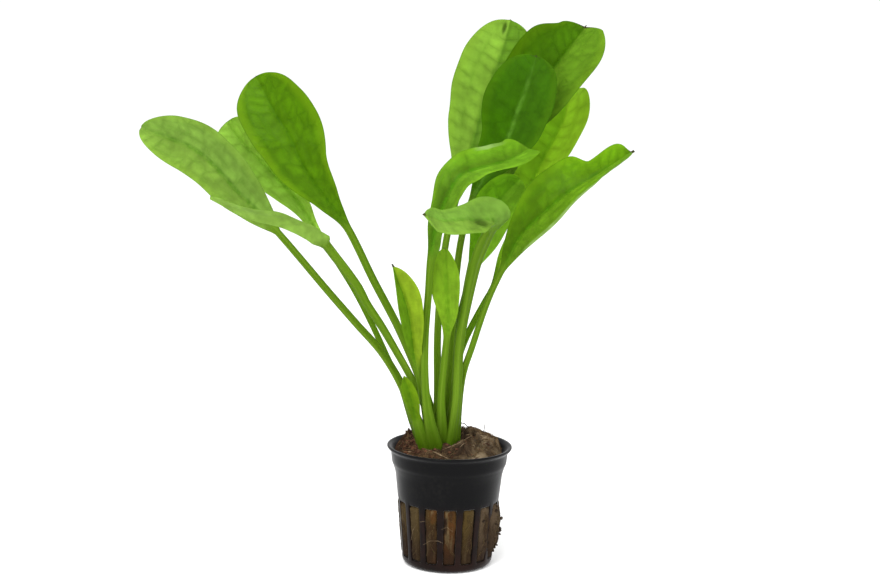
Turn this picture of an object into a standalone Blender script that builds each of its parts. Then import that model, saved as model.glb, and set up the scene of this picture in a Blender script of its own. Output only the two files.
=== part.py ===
"""Potted echinodorus: a rosette of stalked spoon-shaped leaves in a slotted net pot of brown wool.

Lengths are millimetres here and are turned into metres as each mesh is made.
The origin is the centre of the pot's underside, +Z is up and the front of the plant faces -Y.
"""
import math

import bmesh
import bpy
import numpy as np
from mathutils import Matrix, Vector

MM = 0.001
OBJECT = "potted_echinodorus"

# Net pot
POT_HEIGHT = 50.0
POT_FOOT_R = 17.9        # outer radius where the wall meets the underside
POT_TAPER = 0.127        # outward lean of the wall, mm per mm of height
POT_WALL = 1.0
POT_FLOOR = 1.2
COLLAR_BASE_Z = 41.4     # step where the wall widens into the collar
COLLAR_R = 24.1
LIP_BASE_Z = 46.8
LIP_R = 26.0
POT_STEPS = 48
SLOTS = 16
SLOT_LOW_Z, SLOT_HIGH_Z = 3.7, 28.5
SLOT_WIDTH_LOW, SLOT_WIDTH_HIGH = 4.4, 5.2
FIRST_SLOT_DEG = 3.0     # how far the front slot sits round to the right
FLOOR_SLOTS = 8
FLOOR_SLOT_WIDTH = 2.6
FLOOR_SLOT_REACH = (6.0, 13.5)

# Brown growing wool
WOOL_GAP = 0.35          # play between the wool and the pot wall
WOOL_STEPS = 48
WOOL_BULGE = 0.9         # how far it swells into each slot
CRATER = (-3.6, -3.5)    # centre of the hollow that the crown sits in
CRATER_SQUASH = 0.9      # its depth front to back over its width
# Lumps on the wool: x, y, radius, height
LUMPS = ((14.0, 8.0, 7.5, 8.0), (18.5, -1.0, 5.5, 4.5), (8.0, 13.5, 6.0, 4.5),
         (-17.0, 7.0, 5.0, 2.2), (-17.5, -6.0, 4.0, 1.6), (3.0, -18.0, 5.0, 1.2),
         (-7.0, 16.0, 6.0, 2.0))

# Crown that every stalk grows from
CROWN_LOW_Z, CROWN_TOP_Z = 37.0, 41.9
CROWN_R = 10.6

# Leaf section
RING = 12
BLADE_SKIN = 0.28        # half the thickness of a blade at its middle
STALK_DEPTH = 0.85       # a stalk's depth over its width
MAX_STALK_DEPTH = 3.6

# Leaves. route: midrib points from foot to tip. blade: length of the blade along the midrib.
# turn: degrees the upper face is turned from the front, at the blade's foot and at its tip.
# fold and curl: degrees each half rises from the midrib, and bends further on the way out.
# swell and blunt: how the outline grows from the stalk and how it closes at the tip.
# stalk: stalk width at its foot and at the blade.
LEAVES = {
    "leaf_far_left": dict(
        route=[(-12, -1.5, 43), (-19, -4, 73), (-27, -9, 90), (-49, -15, 116), (-73, -20, 143),
               (-86, -22, 156), (-102, -23, 172), (-124, -25, 181)],
        blade=69, width=24, turn=(25, 11), fold=16, curl=13,
        swell=0.8, blunt=0.5, stalk=(4.0, 3.0)),
    "leaf_left_middle": dict(
        route=[(-10, 2.5, 43), (-16, 3, 59), (-24, 4, 76), (-31, 6, 92), (-42, 9, 114),
               (-56, 13, 135), (-64, 16, 147), (-73, 18, 157), (-85, 18, 170), (-94, 17, 182)],
        blade=70, width=27, turn=(-5, 6), fold=34, curl=22,
        swell=1.45, blunt=0.35, stalk=(3.6, 2.8)),
    "leaf_left_broad": dict(
        route=[(-6, 4, 43), (-10, 6, 68), (-21, 7, 95), (-33, 5, 118), (-44, 2, 140),
               (-53, 1, 152), (-62, 2, 164), (-68, 5, 176), (-76, 9, 188), (-83, 15, 200)],
        blade=77, width=30, turn=(15, -4), fold=11, curl=9,
        swell=1.35, blunt=0.55, stalk=(3.8, 3.2)),
    "leaf_left_low": dict(
        route=[(-11, -6, 43), (-11, -6, 66), (-20, -15, 84), (-31, -24, 104), (-38, -32, 120),
               (-46, -37, 130), (-53, -41, 138), (-65, -46, 146), (-79, -49, 150),
               (-93, -50, 155)],
        blade=54, width=25, turn=(119, 105), fold=11, curl=-2,
        swell=0.6, blunt=0.75, stalk=(4.4, 4.2)),
    "young_leaf_left": dict(
        route=[(-6, -7.5, 43), (-11, -14, 72), (-15, -17, 91), (-18, -25, 111), (-24, -31, 129)],
        blade=48, width=14, turn=(1, 32), fold=34, curl=13,
        swell=1.3, blunt=0.7, stalk=(3.4, 2.6)),
    "sheath_leaf_left": dict(
        route=[(-9, -10, 43), (-14, -15, 65), (-16, -18, 74), (-19, -21, 83)],
        blade=22, width=6.5, turn=(0, 0), fold=12, curl=10,
        swell=1.15, blunt=0.8, stalk=(3.4, 3.0), stations=(3, 6)),
    "leaf_arching": dict(
        route=[(-4.5, -11, 43), (-10, -17, 73), (-11, -18, 96), (-10, -22, 117), (-9, -27, 136),
               (-6, -31, 150), (1, -31, 165), (8, -28, 168), (20, -24, 170), (30, -19, 174)],
        blade=70, width=25, turn=(-11, -72), fold=7, curl=10,
        swell=1.3, blunt=0.4, stalk=(3.6, 2.9)),
    "young_leaf_front": dict(
        route=[(-2, -6.5, 43), (-4, -13, 72), (-3, -16, 89), (-2, -18, 105), (-3, -20, 121),
               (-4, -22, 139)],
        blade=42, width=12, turn=(4, -15), fold=11, curl=10,
        swell=1.2, blunt=0.85, stalk=(3.2, 2.8)),
    "leaf_front": dict(
        route=[(2, -7.5, 43), (3, -10, 71), (4, -12, 95), (6, -16, 116), (9, -20, 131),
               (13, -27, 143), (15, -38, 149), (5, -52, 151), (-5, -65, 152), (-12, -77, 156)],
        blade=60, width=21, turn=(52, 55), fold=6, curl=12,
        swell=0.6, blunt=0.7, stalk=(3.8, 8.0), flare=2.5),
    "leaf_inner_right": dict(
        route=[(0, -4, 43), (1, -5, 70), (1, -7, 94), (2, -9, 117), (4, -10, 133), (9, -9, 146),
               (18, -7, 155), (26, -4, 162)],
        blade=58, width=18, turn=(-15, -15), fold=9, curl=8,
        swell=1.15, blunt=0.5, stalk=(3.0, 2.8)),
    "leaf_right_low": dict(
        route=[(5.5, -2.5, 43), (4, -4, 66), (7, -7, 84), (13, -11, 104), (18, -15, 118),
               (21, -18, 130), (26, -21, 141), (43, -23, 158), (58, -23, 166), (70, -22, 176)],
        blade=73, width=28, turn=(-1, -72), fold=19, curl=9,
        swell=1.0, blunt=0.3, stalk=(3.8, 3.2)),
    "leaf_right_back": dict(
        route=[(4, 1.5, 43), (4, 4, 68), (6, 6, 85), (11, 8, 100), (16, 10, 114), (20, 13, 127),
               (29, 18, 141), (32, 23, 157), (45, 28, 185), (47, 33, 195)],
        blade=86, width=36, turn=(-19, -38), fold=23, curl=11,
        swell=1.45, blunt=0.3, stalk=(3.4, 2.8)),
    "leaf_tall_centre": dict(
        route=[(0, 0, 43), (-1, 0, 69), (0, 0, 94), (1, 1, 119), (3, 2, 137), (7, 1, 153),
               (14, 0, 167), (20, -3, 179), (23, -7, 191), (28, -7, 198), (30, -4, 211)],
        blade=67, width=30, turn=(-10, -13), fold=17, curl=11,
        swell=1.35, blunt=0.5, stalk=(3.2, 2.8)),
    "leaf_tall_right": dict(
        route=[(0.5, 3.5, 43), (2, 9, 67), (3, 12, 92), (6, 14, 117), (10, 15, 136),
               (16, 15, 155), (25, 14, 170), (31, 13, 188), (38, 12, 204), (53, 11, 223)],
        blade=74, width=40, turn=(-57, -10), fold=27, curl=12,
        swell=0.8, blunt=0.4, stalk=(3.4, 2.8)),
    "leaf_tall_back": dict(
        route=[(-3.5, 0.5, 43), (-5, 4, 68), (-6, 8, 93), (-5, 13, 117), (-3, 18, 135),
               (1, 24, 152), (6, 29, 169), (9, 34, 183), (12, 37, 196), (20, 39, 211),
               (22, 40, 226)],
        blade=79, width=32, turn=(-2, -5), fold=7, curl=7,
        swell=1, blunt=0.5, stalk=(3.4, 2.8)),
}

COLOURS = {
    "pot_black": (0.018, 0.018, 0.020),
    "wool_brown": (0.16, 0.105, 0.065),
    "crown_pale": (0.42, 0.47, 0.20),
    "leaf_dark": (0.075, 0.21, 0.018),
    "leaf_mid": (0.15, 0.33, 0.035),
    "leaf_pale": (0.25, 0.42, 0.07),
}
LEAF_SLOTS = {
    "leaf_far_left": "leaf_pale", "leaf_left_middle": "leaf_pale", "leaf_left_broad": "leaf_dark",
    "leaf_left_low": "leaf_pale", "young_leaf_left": "leaf_mid", "sheath_leaf_left": "leaf_mid",
    "leaf_arching": "leaf_mid", "young_leaf_front": "leaf_mid", "leaf_front": "leaf_pale",
    "leaf_inner_right": "leaf_dark", "leaf_right_low": "leaf_dark", "leaf_right_back": "leaf_pale",
    "leaf_tall_centre": "leaf_dark", "leaf_tall_right": "leaf_dark", "leaf_tall_back": "leaf_pale",
}


def clear_scene():
    for obj in list(bpy.data.objects):
        bpy.data.objects.remove(obj, do_unlink=True)
    for coll in list(bpy.data.collections):
        bpy.data.collections.remove(coll)


def new_collection(name):
    coll = bpy.data.collections.new(name)
    bpy.context.scene.collection.children.link(coll)
    return coll


def material(slot):
    mat = bpy.data.materials.get(slot)
    if mat is None:
        mat = bpy.data.materials.new(slot)
        mat.use_nodes = True
        shader = mat.node_tree.nodes["Principled BSDF"]
        shader.inputs["Base Color"].default_value = (*COLOURS[slot], 1.0)
        shader.inputs["Roughness"].default_value = 0.9 if slot == "wool_brown" else 0.45
    return mat


def finish_mesh(bm, name, coll, slot=None):
    """Turns a bmesh in millimetres into a named object in metres."""
    bmesh.ops.recalc_face_normals(bm, faces=bm.faces)
    bm.transform(Matrix.Scale(MM, 4))
    mesh = bpy.data.meshes.new(name)
    bm.to_mesh(mesh)
    bm.free()
    mesh.shade_smooth()
    mesh.set_sharp_from_angle(angle=math.radians(40))
    obj = bpy.data.objects.new(name, mesh)
    coll.objects.link(obj)
    if slot:
        mesh.materials.append(material(slot))
    return obj


def outline(profile):
    """Open line of edges through (radius, height) points that start and end on the axis."""
    bm = bmesh.new()
    verts = [bm.verts.new((r, 0.0, z)) for r, z in profile]
    edges = [bm.edges.new(pair) for pair in zip(verts, verts[1:])]
    return bm, verts, edges


def turned(profile, steps):
    """A closed solid turned from an outline, for shapes whose points are moved afterwards."""
    bm, verts, edges = outline(profile)
    bmesh.ops.spin(bm, geom=verts + edges, cent=(0, 0, 0), axis=(0, 0, 1),
                   angle=math.tau, steps=steps, use_merge=True)
    bmesh.ops.remove_doubles(bm, verts=bm.verts, dist=0.001)
    return bm


def wall_radius(z):
    return POT_FOOT_R + POT_TAPER * z


# Net pot

def slot_cutters(coll):
    """One object with a tapered bar for every wall slot and a straight one for every floor slot."""
    bm = bmesh.new()
    for i in range(SLOTS):
        angle = math.radians(FIRST_SLOT_DEG - 90 + i * 360 / SLOTS)
        bar = bmesh.ops.create_cube(bm, size=1.0)["verts"]
        for v in bar:
            high = v.co.z > 0
            width = SLOT_WIDTH_HIGH if high else SLOT_WIDTH_LOW
            v.co = Vector((20.0 + v.co.x * 12.0, v.co.y * width, SLOT_HIGH_Z if high else SLOT_LOW_Z))
        ends = {e for v in bar for e in v.link_edges if abs(e.verts[0].co.x - e.verts[1].co.x) > 1}
        out = bmesh.ops.bevel(bm, geom=list(ends), offset=1.1, segments=2, profile=0.5, affect="EDGES")
        moved = {v for v in bar if v.is_valid} | set(out["verts"])
        bmesh.ops.rotate(bm, verts=list(moved), cent=(0, 0, 0), matrix=Matrix.Rotation(angle, 3, "Z"))
    inner, outer = FLOOR_SLOT_REACH
    for i in range(FLOOR_SLOTS):
        bar = bmesh.ops.create_cube(bm, size=1.0)["verts"]
        for v in bar:
            v.co = Vector(((inner + outer) / 2 + v.co.x * (outer - inner), v.co.y * FLOOR_SLOT_WIDTH,
                           v.co.z * 6.0))
        bmesh.ops.rotate(bm, verts=bar, cent=(0, 0, 0),
                         matrix=Matrix.Rotation(math.tau * (i + 0.5) / FLOOR_SLOTS, 3, "Z"))
    cutter = finish_mesh(bm, "slot_cutters", coll)
    cutter.hide_render = True
    cutter.display_type = "WIRE"
    return cutter


def net_pot(coll, cutter_coll):
    """Tapered cup with a stepped collar and a rolled lip, cut by slots."""
    step = COLLAR_BASE_Z
    profile = [
        (0.0, POT_FLOOR), (wall_radius(POT_FLOOR) - POT_WALL, POT_FLOOR),
        (wall_radius(step) - POT_WALL, step - 0.2), (COLLAR_R - 1.1, step + 1.2),
        (COLLAR_R - 0.9, LIP_BASE_Z + 0.6), (LIP_R - 1.7, POT_HEIGHT - 0.4), (LIP_R - 0.9, POT_HEIGHT),
        (LIP_R - 0.2, POT_HEIGHT - 0.6), (LIP_R, LIP_BASE_Z + 1.2), (LIP_R - 0.3, LIP_BASE_Z + 0.3),
        (COLLAR_R + 0.2, LIP_BASE_Z), (COLLAR_R, step + 0.9), (wall_radius(step), step),
        (POT_FOOT_R + 0.12, 1.0), (POT_FOOT_R - 1.0, 0.0), (0.0, 0.0),
    ]
    pot = finish_mesh(outline(profile)[0], "net_pot", coll, "pot_black")
    turn = pot.modifiers.new("turn", "SCREW")
    turn.steps = turn.render_steps = POT_STEPS
    turn.use_merge_vertices = True
    turn.merge_threshold = 0.00001
    cut = pot.modifiers.new("slots", "BOOLEAN")
    cut.operation = "DIFFERENCE"
    cut.solver = "EXACT"
    cut.object = slot_cutters(cutter_coll)
    return pot


# Growing wool

def lump_height(x, y):
    """Rise of the wool's top at a point, from every lump."""
    rise = 0.0
    for cx, cy, radius, height in LUMPS:
        d = math.hypot(x - cx, y - cy) / radius
        rise = max(rise, height * (math.cos(math.pi * min(d, 1.0)) + 1) / 2)
    return rise


def growing_wool(coll):
    """Wad that fills the pot: it swells into the slots, is hollow round the crown and lumpy on top."""
    def side(z):
        return wall_radius(z) - POT_WALL - WOOL_GAP

    top = 46.2
    profile = [(0.0, 1.6), (9.0, 1.6), (side(1.6) - 0.5, 1.6), (side(2.4), 2.4), (side(6.0), 6.0),
               (side(26.0), 26.0), (side(30.0), 30.0), (side(40.8), 40.8), (22.4, 43.4), (22.2, top),
               (20.2, top + 0.8), (17.0, top + 1.0), (14.0, top + 0.8), (12.6, top - 0.6),
               (11.9, 43.0), (11.4, 36.4), (0.0, 36.4)]
    bm = turned(profile, WOOL_STEPS)
    bmesh.ops.rotate(bm, verts=bm.verts, cent=(0, 0, 0),
                     matrix=Matrix.Rotation(math.radians(FIRST_SLOT_DEG), 3, "Z"))
    for v in bm.verts:
        r, z = math.hypot(v.co.x, v.co.y), v.co.z
        angle = math.degrees(math.atan2(v.co.y, v.co.x))
        if 5.0 < z < 27.0 and r > 10:
            off = (angle + 90 - FIRST_SLOT_DEG + 180 / SLOTS) % (360 / SLOTS) - 180 / SLOTS
            if abs(off) < 2.0:
                v.co.xy *= (r + WOOL_BULGE) / r
        if z > 36.0 and r < 20.5:
            near = min(1.0, (20.5 - r) / 5.5)
            v.co.y *= 1 + (CRATER_SQUASH - 1) * near
            v.co.xy += Vector(CRATER) * near
        if z > top - 0.3:
            v.co.z += lump_height(v.co.x, v.co.y) * min(1.0, (23.5 - math.hypot(*v.co.xy)) / 3.0)
    return finish_mesh(bm, "growing_wool", coll, "wool_brown")


def crown(coll):
    """Squat pale stub under the stalks."""
    profile = [(0.0, CROWN_LOW_Z), (CROWN_R - 2.5, CROWN_LOW_Z), (CROWN_R - 0.4, CROWN_LOW_Z + 2.0),
               (CROWN_R, CROWN_TOP_Z - 1.2), (CROWN_R - 0.8, CROWN_TOP_Z), (0.0, CROWN_TOP_Z)]
    bm = turned(profile, 24)
    for v in bm.verts:
        v.co.y *= CRATER_SQUASH
        v.co.xy += Vector(CRATER)
    return finish_mesh(bm, "crown", coll, "crown_pale")


# Leaves

def smooth(x):
    x = np.clip(x, 0.0, 1.0)
    return x * x * (3 - 2 * x)


def unit(v):
    return v / np.linalg.norm(v, axis=-1, keepdims=True)


def curve_through(points, per_span=60):
    """Smooth curve through the route points, with its length along the way."""
    p = np.asarray(points, float)
    p = np.vstack([2 * p[0] - p[1], p, 2 * p[-1] - p[-2]])
    spans = []
    for i in range(len(p) - 3):
        a, b, c, d = p[i:i + 4]
        ab, bc, cd = (np.linalg.norm(q) ** 0.5 for q in (b - a, c - b, d - c))
        m1 = (c - b) + bc * ((b - a) / ab - (c - a) / (ab + bc))
        m2 = (c - b) + bc * ((d - c) / cd - (d - b) / (bc + cd))
        t = np.linspace(0, 1, per_span, endpoint=(i == len(p) - 4))[:, None]
        spans.append((2 * t**3 - 3 * t**2 + 1) * b + (t**3 - 2 * t**2 + t) * m1
                     + (3 * t**2 - 2 * t**3) * c + (t**3 - t**2) * m2)
    curve = np.vstack(spans)
    along = np.concatenate([[0], np.cumsum(np.linalg.norm(np.diff(curve, axis=0), axis=1))])
    return curve, along


def leaf_sections(route, blade, width, turn, fold, curl, swell, blunt, stalk,
                  flare=0.6, stations=(6, 11)):
    """Rings of points from the round foot of the stalk to the thin tip of the blade."""
    curve, along = curve_through(route)
    length = along[-1]
    start = length - blade
    on_blade = 1 - (1 - np.linspace(0, 1, stations[1])) ** 1.35
    at = np.concatenate([np.linspace(0, start, stations[0], endpoint=False), start + blade * on_blade])
    at = np.minimum(at, length - 0.25)

    def point(where):
        return np.stack([np.interp(where, along, curve[:, k]) for k in range(3)], -1)

    centre = point(at)
    ahead = unit(point(np.minimum(at + 0.5, length)) - point(np.maximum(at - 0.5, 0)))
    t = np.clip((at - start) / blade, 0, 1)
    front = np.zeros_like(centre) + np.array([0.0, -1.0, 0.0])
    front = unit(front - (front * ahead).sum(1, keepdims=True) * ahead)
    angle = np.radians(turn[0] + (turn[1] - turn[0]) * smooth(t))[:, None]
    up = unit(front * np.cos(angle) + np.cross(ahead, front) * np.sin(angle))
    across = np.cross(ahead, up)

    peak = swell / (swell + blunt)
    outline = np.maximum(t, 1e-9) ** swell * (1 - t) ** blunt
    outline /= peak ** swell * (1 - peak) ** blunt
    stem = (stalk[0] + (stalk[1] - stalk[0]) * np.clip(at / start, 0, 1) ** flare) / 2
    half = np.where(t > 0, np.hypot(width / 2 * outline, stem * (1 - t)), stem)
    half = np.maximum(half, 0.5)[:, None]
    thick = np.minimum(stem, MAX_STALK_DEPTH / 2 / STALK_DEPTH)
    deep = np.where(t > 0, thick * 0.8 * (1 - t) ** 1.5 + 0.35, thick * STALK_DEPTH)[:, None]

    ring = np.arange(RING) * math.tau / RING
    out, side, lift = np.abs(np.cos(ring))[None], np.sign(np.cos(ring))[None], np.sin(ring)[None]
    opened = smooth(t / 0.25)[:, None]
    rise = math.radians(fold) * opened
    bend = math.radians(curl) * opened
    bend = np.where(np.abs(bend) < 1e-4, 1e-4, bend)
    sideways = half / bend * (np.sin(rise + bend * out) - np.sin(rise)) * side
    height = half / bend * (np.cos(rise) - np.cos(rise + bend * out))

    stalky = (1 - smooth(t / 0.12))[:, None]
    lens = BLADE_SKIN * np.sqrt(np.maximum(1 - out ** 4, 0))
    rib = np.exp(-(half * out / np.maximum(0.9 * stem[:, None], 0.6)) ** 2)
    rib = rib * np.maximum(2 * deep - BLADE_SKIN, 0)
    flat = np.where(lift > 1e-6, lens, np.where(lift < -1e-6, -lens - rib, 0.0))
    height = height + stalky * deep * lift + (1 - stalky) * flat
    return centre[:, None] + across[:, None] * sideways[..., None] + up[:, None] * height[..., None]


def grow(name, sections, coll, slot):
    """Solid drawn through unlike sections: the foot is extruded on from ring to ring."""
    bm = bmesh.new()
    bmesh.ops.create_circle(bm, cap_ends=True, segments=RING, radius=1.0)
    face = bm.faces[:][0]
    ring = list(face.verts)
    for v, co in zip(ring, sections[0]):
        v.co = co
    for i, section in enumerate(sections[1:]):
        old = {v.co.to_tuple(6): k for k, v in enumerate(ring)}
        out = bmesh.ops.extrude_face_region(bm, geom=[face])
        if i > 0:
            bmesh.ops.delete(bm, geom=[face], context="FACES_ONLY")
        face = next(g for g in out["geom"] if isinstance(g, bmesh.types.BMFace))
        ring = sorted(face.verts, key=lambda v: old[v.co.to_tuple(6)])
        for v, co in zip(ring, section):
            v.co = co
    return finish_mesh(bm, name, coll, slot)


def build():
    clear_scene()
    parts = new_collection(OBJECT)
    cutters = new_collection("cutters")
    net_pot(parts, cutters)
    growing_wool(parts)
    crown(parts)
    for name, leaf in LEAVES.items():
        grow(name, leaf_sections(**leaf), parts, LEAF_SLOTS[name])


build()
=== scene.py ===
# Looks of a potted echinodorus: spoon-shaped leaves on long stalks, grown in a black net pot of
# brown wool. Shapes are worked out in millimetres and turned into metres as each mesh is finished.
# The origin is the centre of the pot's underside, +Z is up and the front of the plant faces -Y.

import math
import random
from types import SimpleNamespace

import bmesh
import bpy
import numpy as np
from mathutils import Matrix, Vector, noise


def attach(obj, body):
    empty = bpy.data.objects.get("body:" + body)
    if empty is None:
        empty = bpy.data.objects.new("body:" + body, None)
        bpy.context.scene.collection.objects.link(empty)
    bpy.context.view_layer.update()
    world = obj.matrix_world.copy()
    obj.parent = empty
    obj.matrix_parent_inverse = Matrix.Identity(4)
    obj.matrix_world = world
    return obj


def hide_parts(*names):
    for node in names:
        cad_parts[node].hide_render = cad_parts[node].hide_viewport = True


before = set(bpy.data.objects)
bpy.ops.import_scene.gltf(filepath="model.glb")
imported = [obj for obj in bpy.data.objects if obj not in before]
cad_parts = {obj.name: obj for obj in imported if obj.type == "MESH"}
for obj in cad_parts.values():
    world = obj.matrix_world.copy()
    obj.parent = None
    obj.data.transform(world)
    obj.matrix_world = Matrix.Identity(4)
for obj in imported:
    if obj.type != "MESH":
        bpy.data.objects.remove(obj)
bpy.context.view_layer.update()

MM = 0.001
NOISE_SEED = 12              # fixed, so margins and clods come out the same each time
DRAW_SEED = 11               # fixed, so fibres and crumbs do too

# Camera, fitted to the photograph: where it stands, which way it looks and how it is rolled
PHOTO_SIZE = (880, 588)
FOCAL_PIXELS = 1900.0
SENSOR_WIDTH = 36.0
CAMERA_AT = (-5.37, -769.29, 240.35)
CAMERA_RIGHT = (0.999743, 0.003690, 0.022385)
CAMERA_UP = (-0.022687, 0.162598, 0.986436)
CAMERA_AHEAD = (0.0, 0.98669, -0.16264)

# Net pot
POT_HEIGHT = 50.3
POT_FOOT_R = 18.75
POT_TAPER = 0.070            # how the wall opens upwards, and how that grows with height
POT_FLARE = 0.00054
POT_WALL = 1.0
POT_FLOOR = 1.2
COLLAR_BASE_Z = 42.4
COLLAR_R = 24.2
LIP_R = 26.0
LIP_THICK = 0.9
SLOTS = 16
SLOT_LOW_Z, SLOT_HIGH_Z = 3.9, 27.4
FIRST_SLOT_DEG = 2.2
COLUMNS_PER_SLOT = 12        # columns of faces in one slot's share of the wall
SLOT_COLUMNS = 8             # of these, the ones that are open
FLOOR_SLOTS = 8
FLOOR_SLOT_COLUMNS = 8
FLOOR_SLOT_REACH = (6.0, 13.5)
SLOT_PITCH = 360 / SLOTS     # degrees from slot to slot, and how many of them are open
SLOT_OPEN = SLOT_PITCH * SLOT_COLUMNS / COLUMNS_PER_SLOT

# Brown growing wool
WOOL_GAP = 0.35
WOOL_TOP_Z = 49.0
WOOL_SIDE_R = 22.2           # the most that the side stands out, before it swells in the slots
WOOL_TOP_R = 21.6            # where the rows over the top start
WOOL_EDGE_R = 22.9           # how far the top reaches once it is spread
CROWN_AT = (-3.6, -3.5)
# Lumps on the wool: x, y, half width, half depth, height
LUMPS = ((8.0, 7.0, 11.0, 14.0, 7.2), (14.8, 3.5, 7.6, 13.0, 5.0), (-3.5, -4.0, 14.5, 14.0, 4.5),
         (-15.6, 9.0, 4.6, 5.0, 4.0), (-16.0, 5.0, 9.5, 15.0, 2.2), (5.0, 15.0, 8.0, 6.0, 4.0),
         (6.0, -15.5, 7.0, 4.0, 1.0), (5.2, -9.6, 5.4, 6.4, 5.2), (13.5, -12.5, 5.0, 4.5, 2.0))
# Painted shade in the hollows and painted highlights on the folds of its top: x, y, half width, half depth,
# shade
WOOL_SHADES = ((6.5, 1.0, 3.2, 6.0, -1.1), (2.5, -14.5, 6.5, 4.0, -0.9), (7.6, -9.5, 1.5, 5.5, -1.0),
               (17.0, -10.5, 3.4, 4.0, -1.1), (-19.0, -8.0, 3.8, 7.5, -1.1), (14.6, -4.0, 1.5, 4.5, 0.8),
               (11.5, -17.5, 3.0, 2.4, 0.9), (15.0, 4.0, 6.0, 7.0, 0.35), (-9.0, -15.0, 6.0, 4.0, 0.25))
# How far the wool reaches out at the top: turn in degrees (0 right, -90 front), spread, millimetres
WOOL_REACHES = ((-150, 25, -0.4), (2, 16, -1.3))
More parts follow.
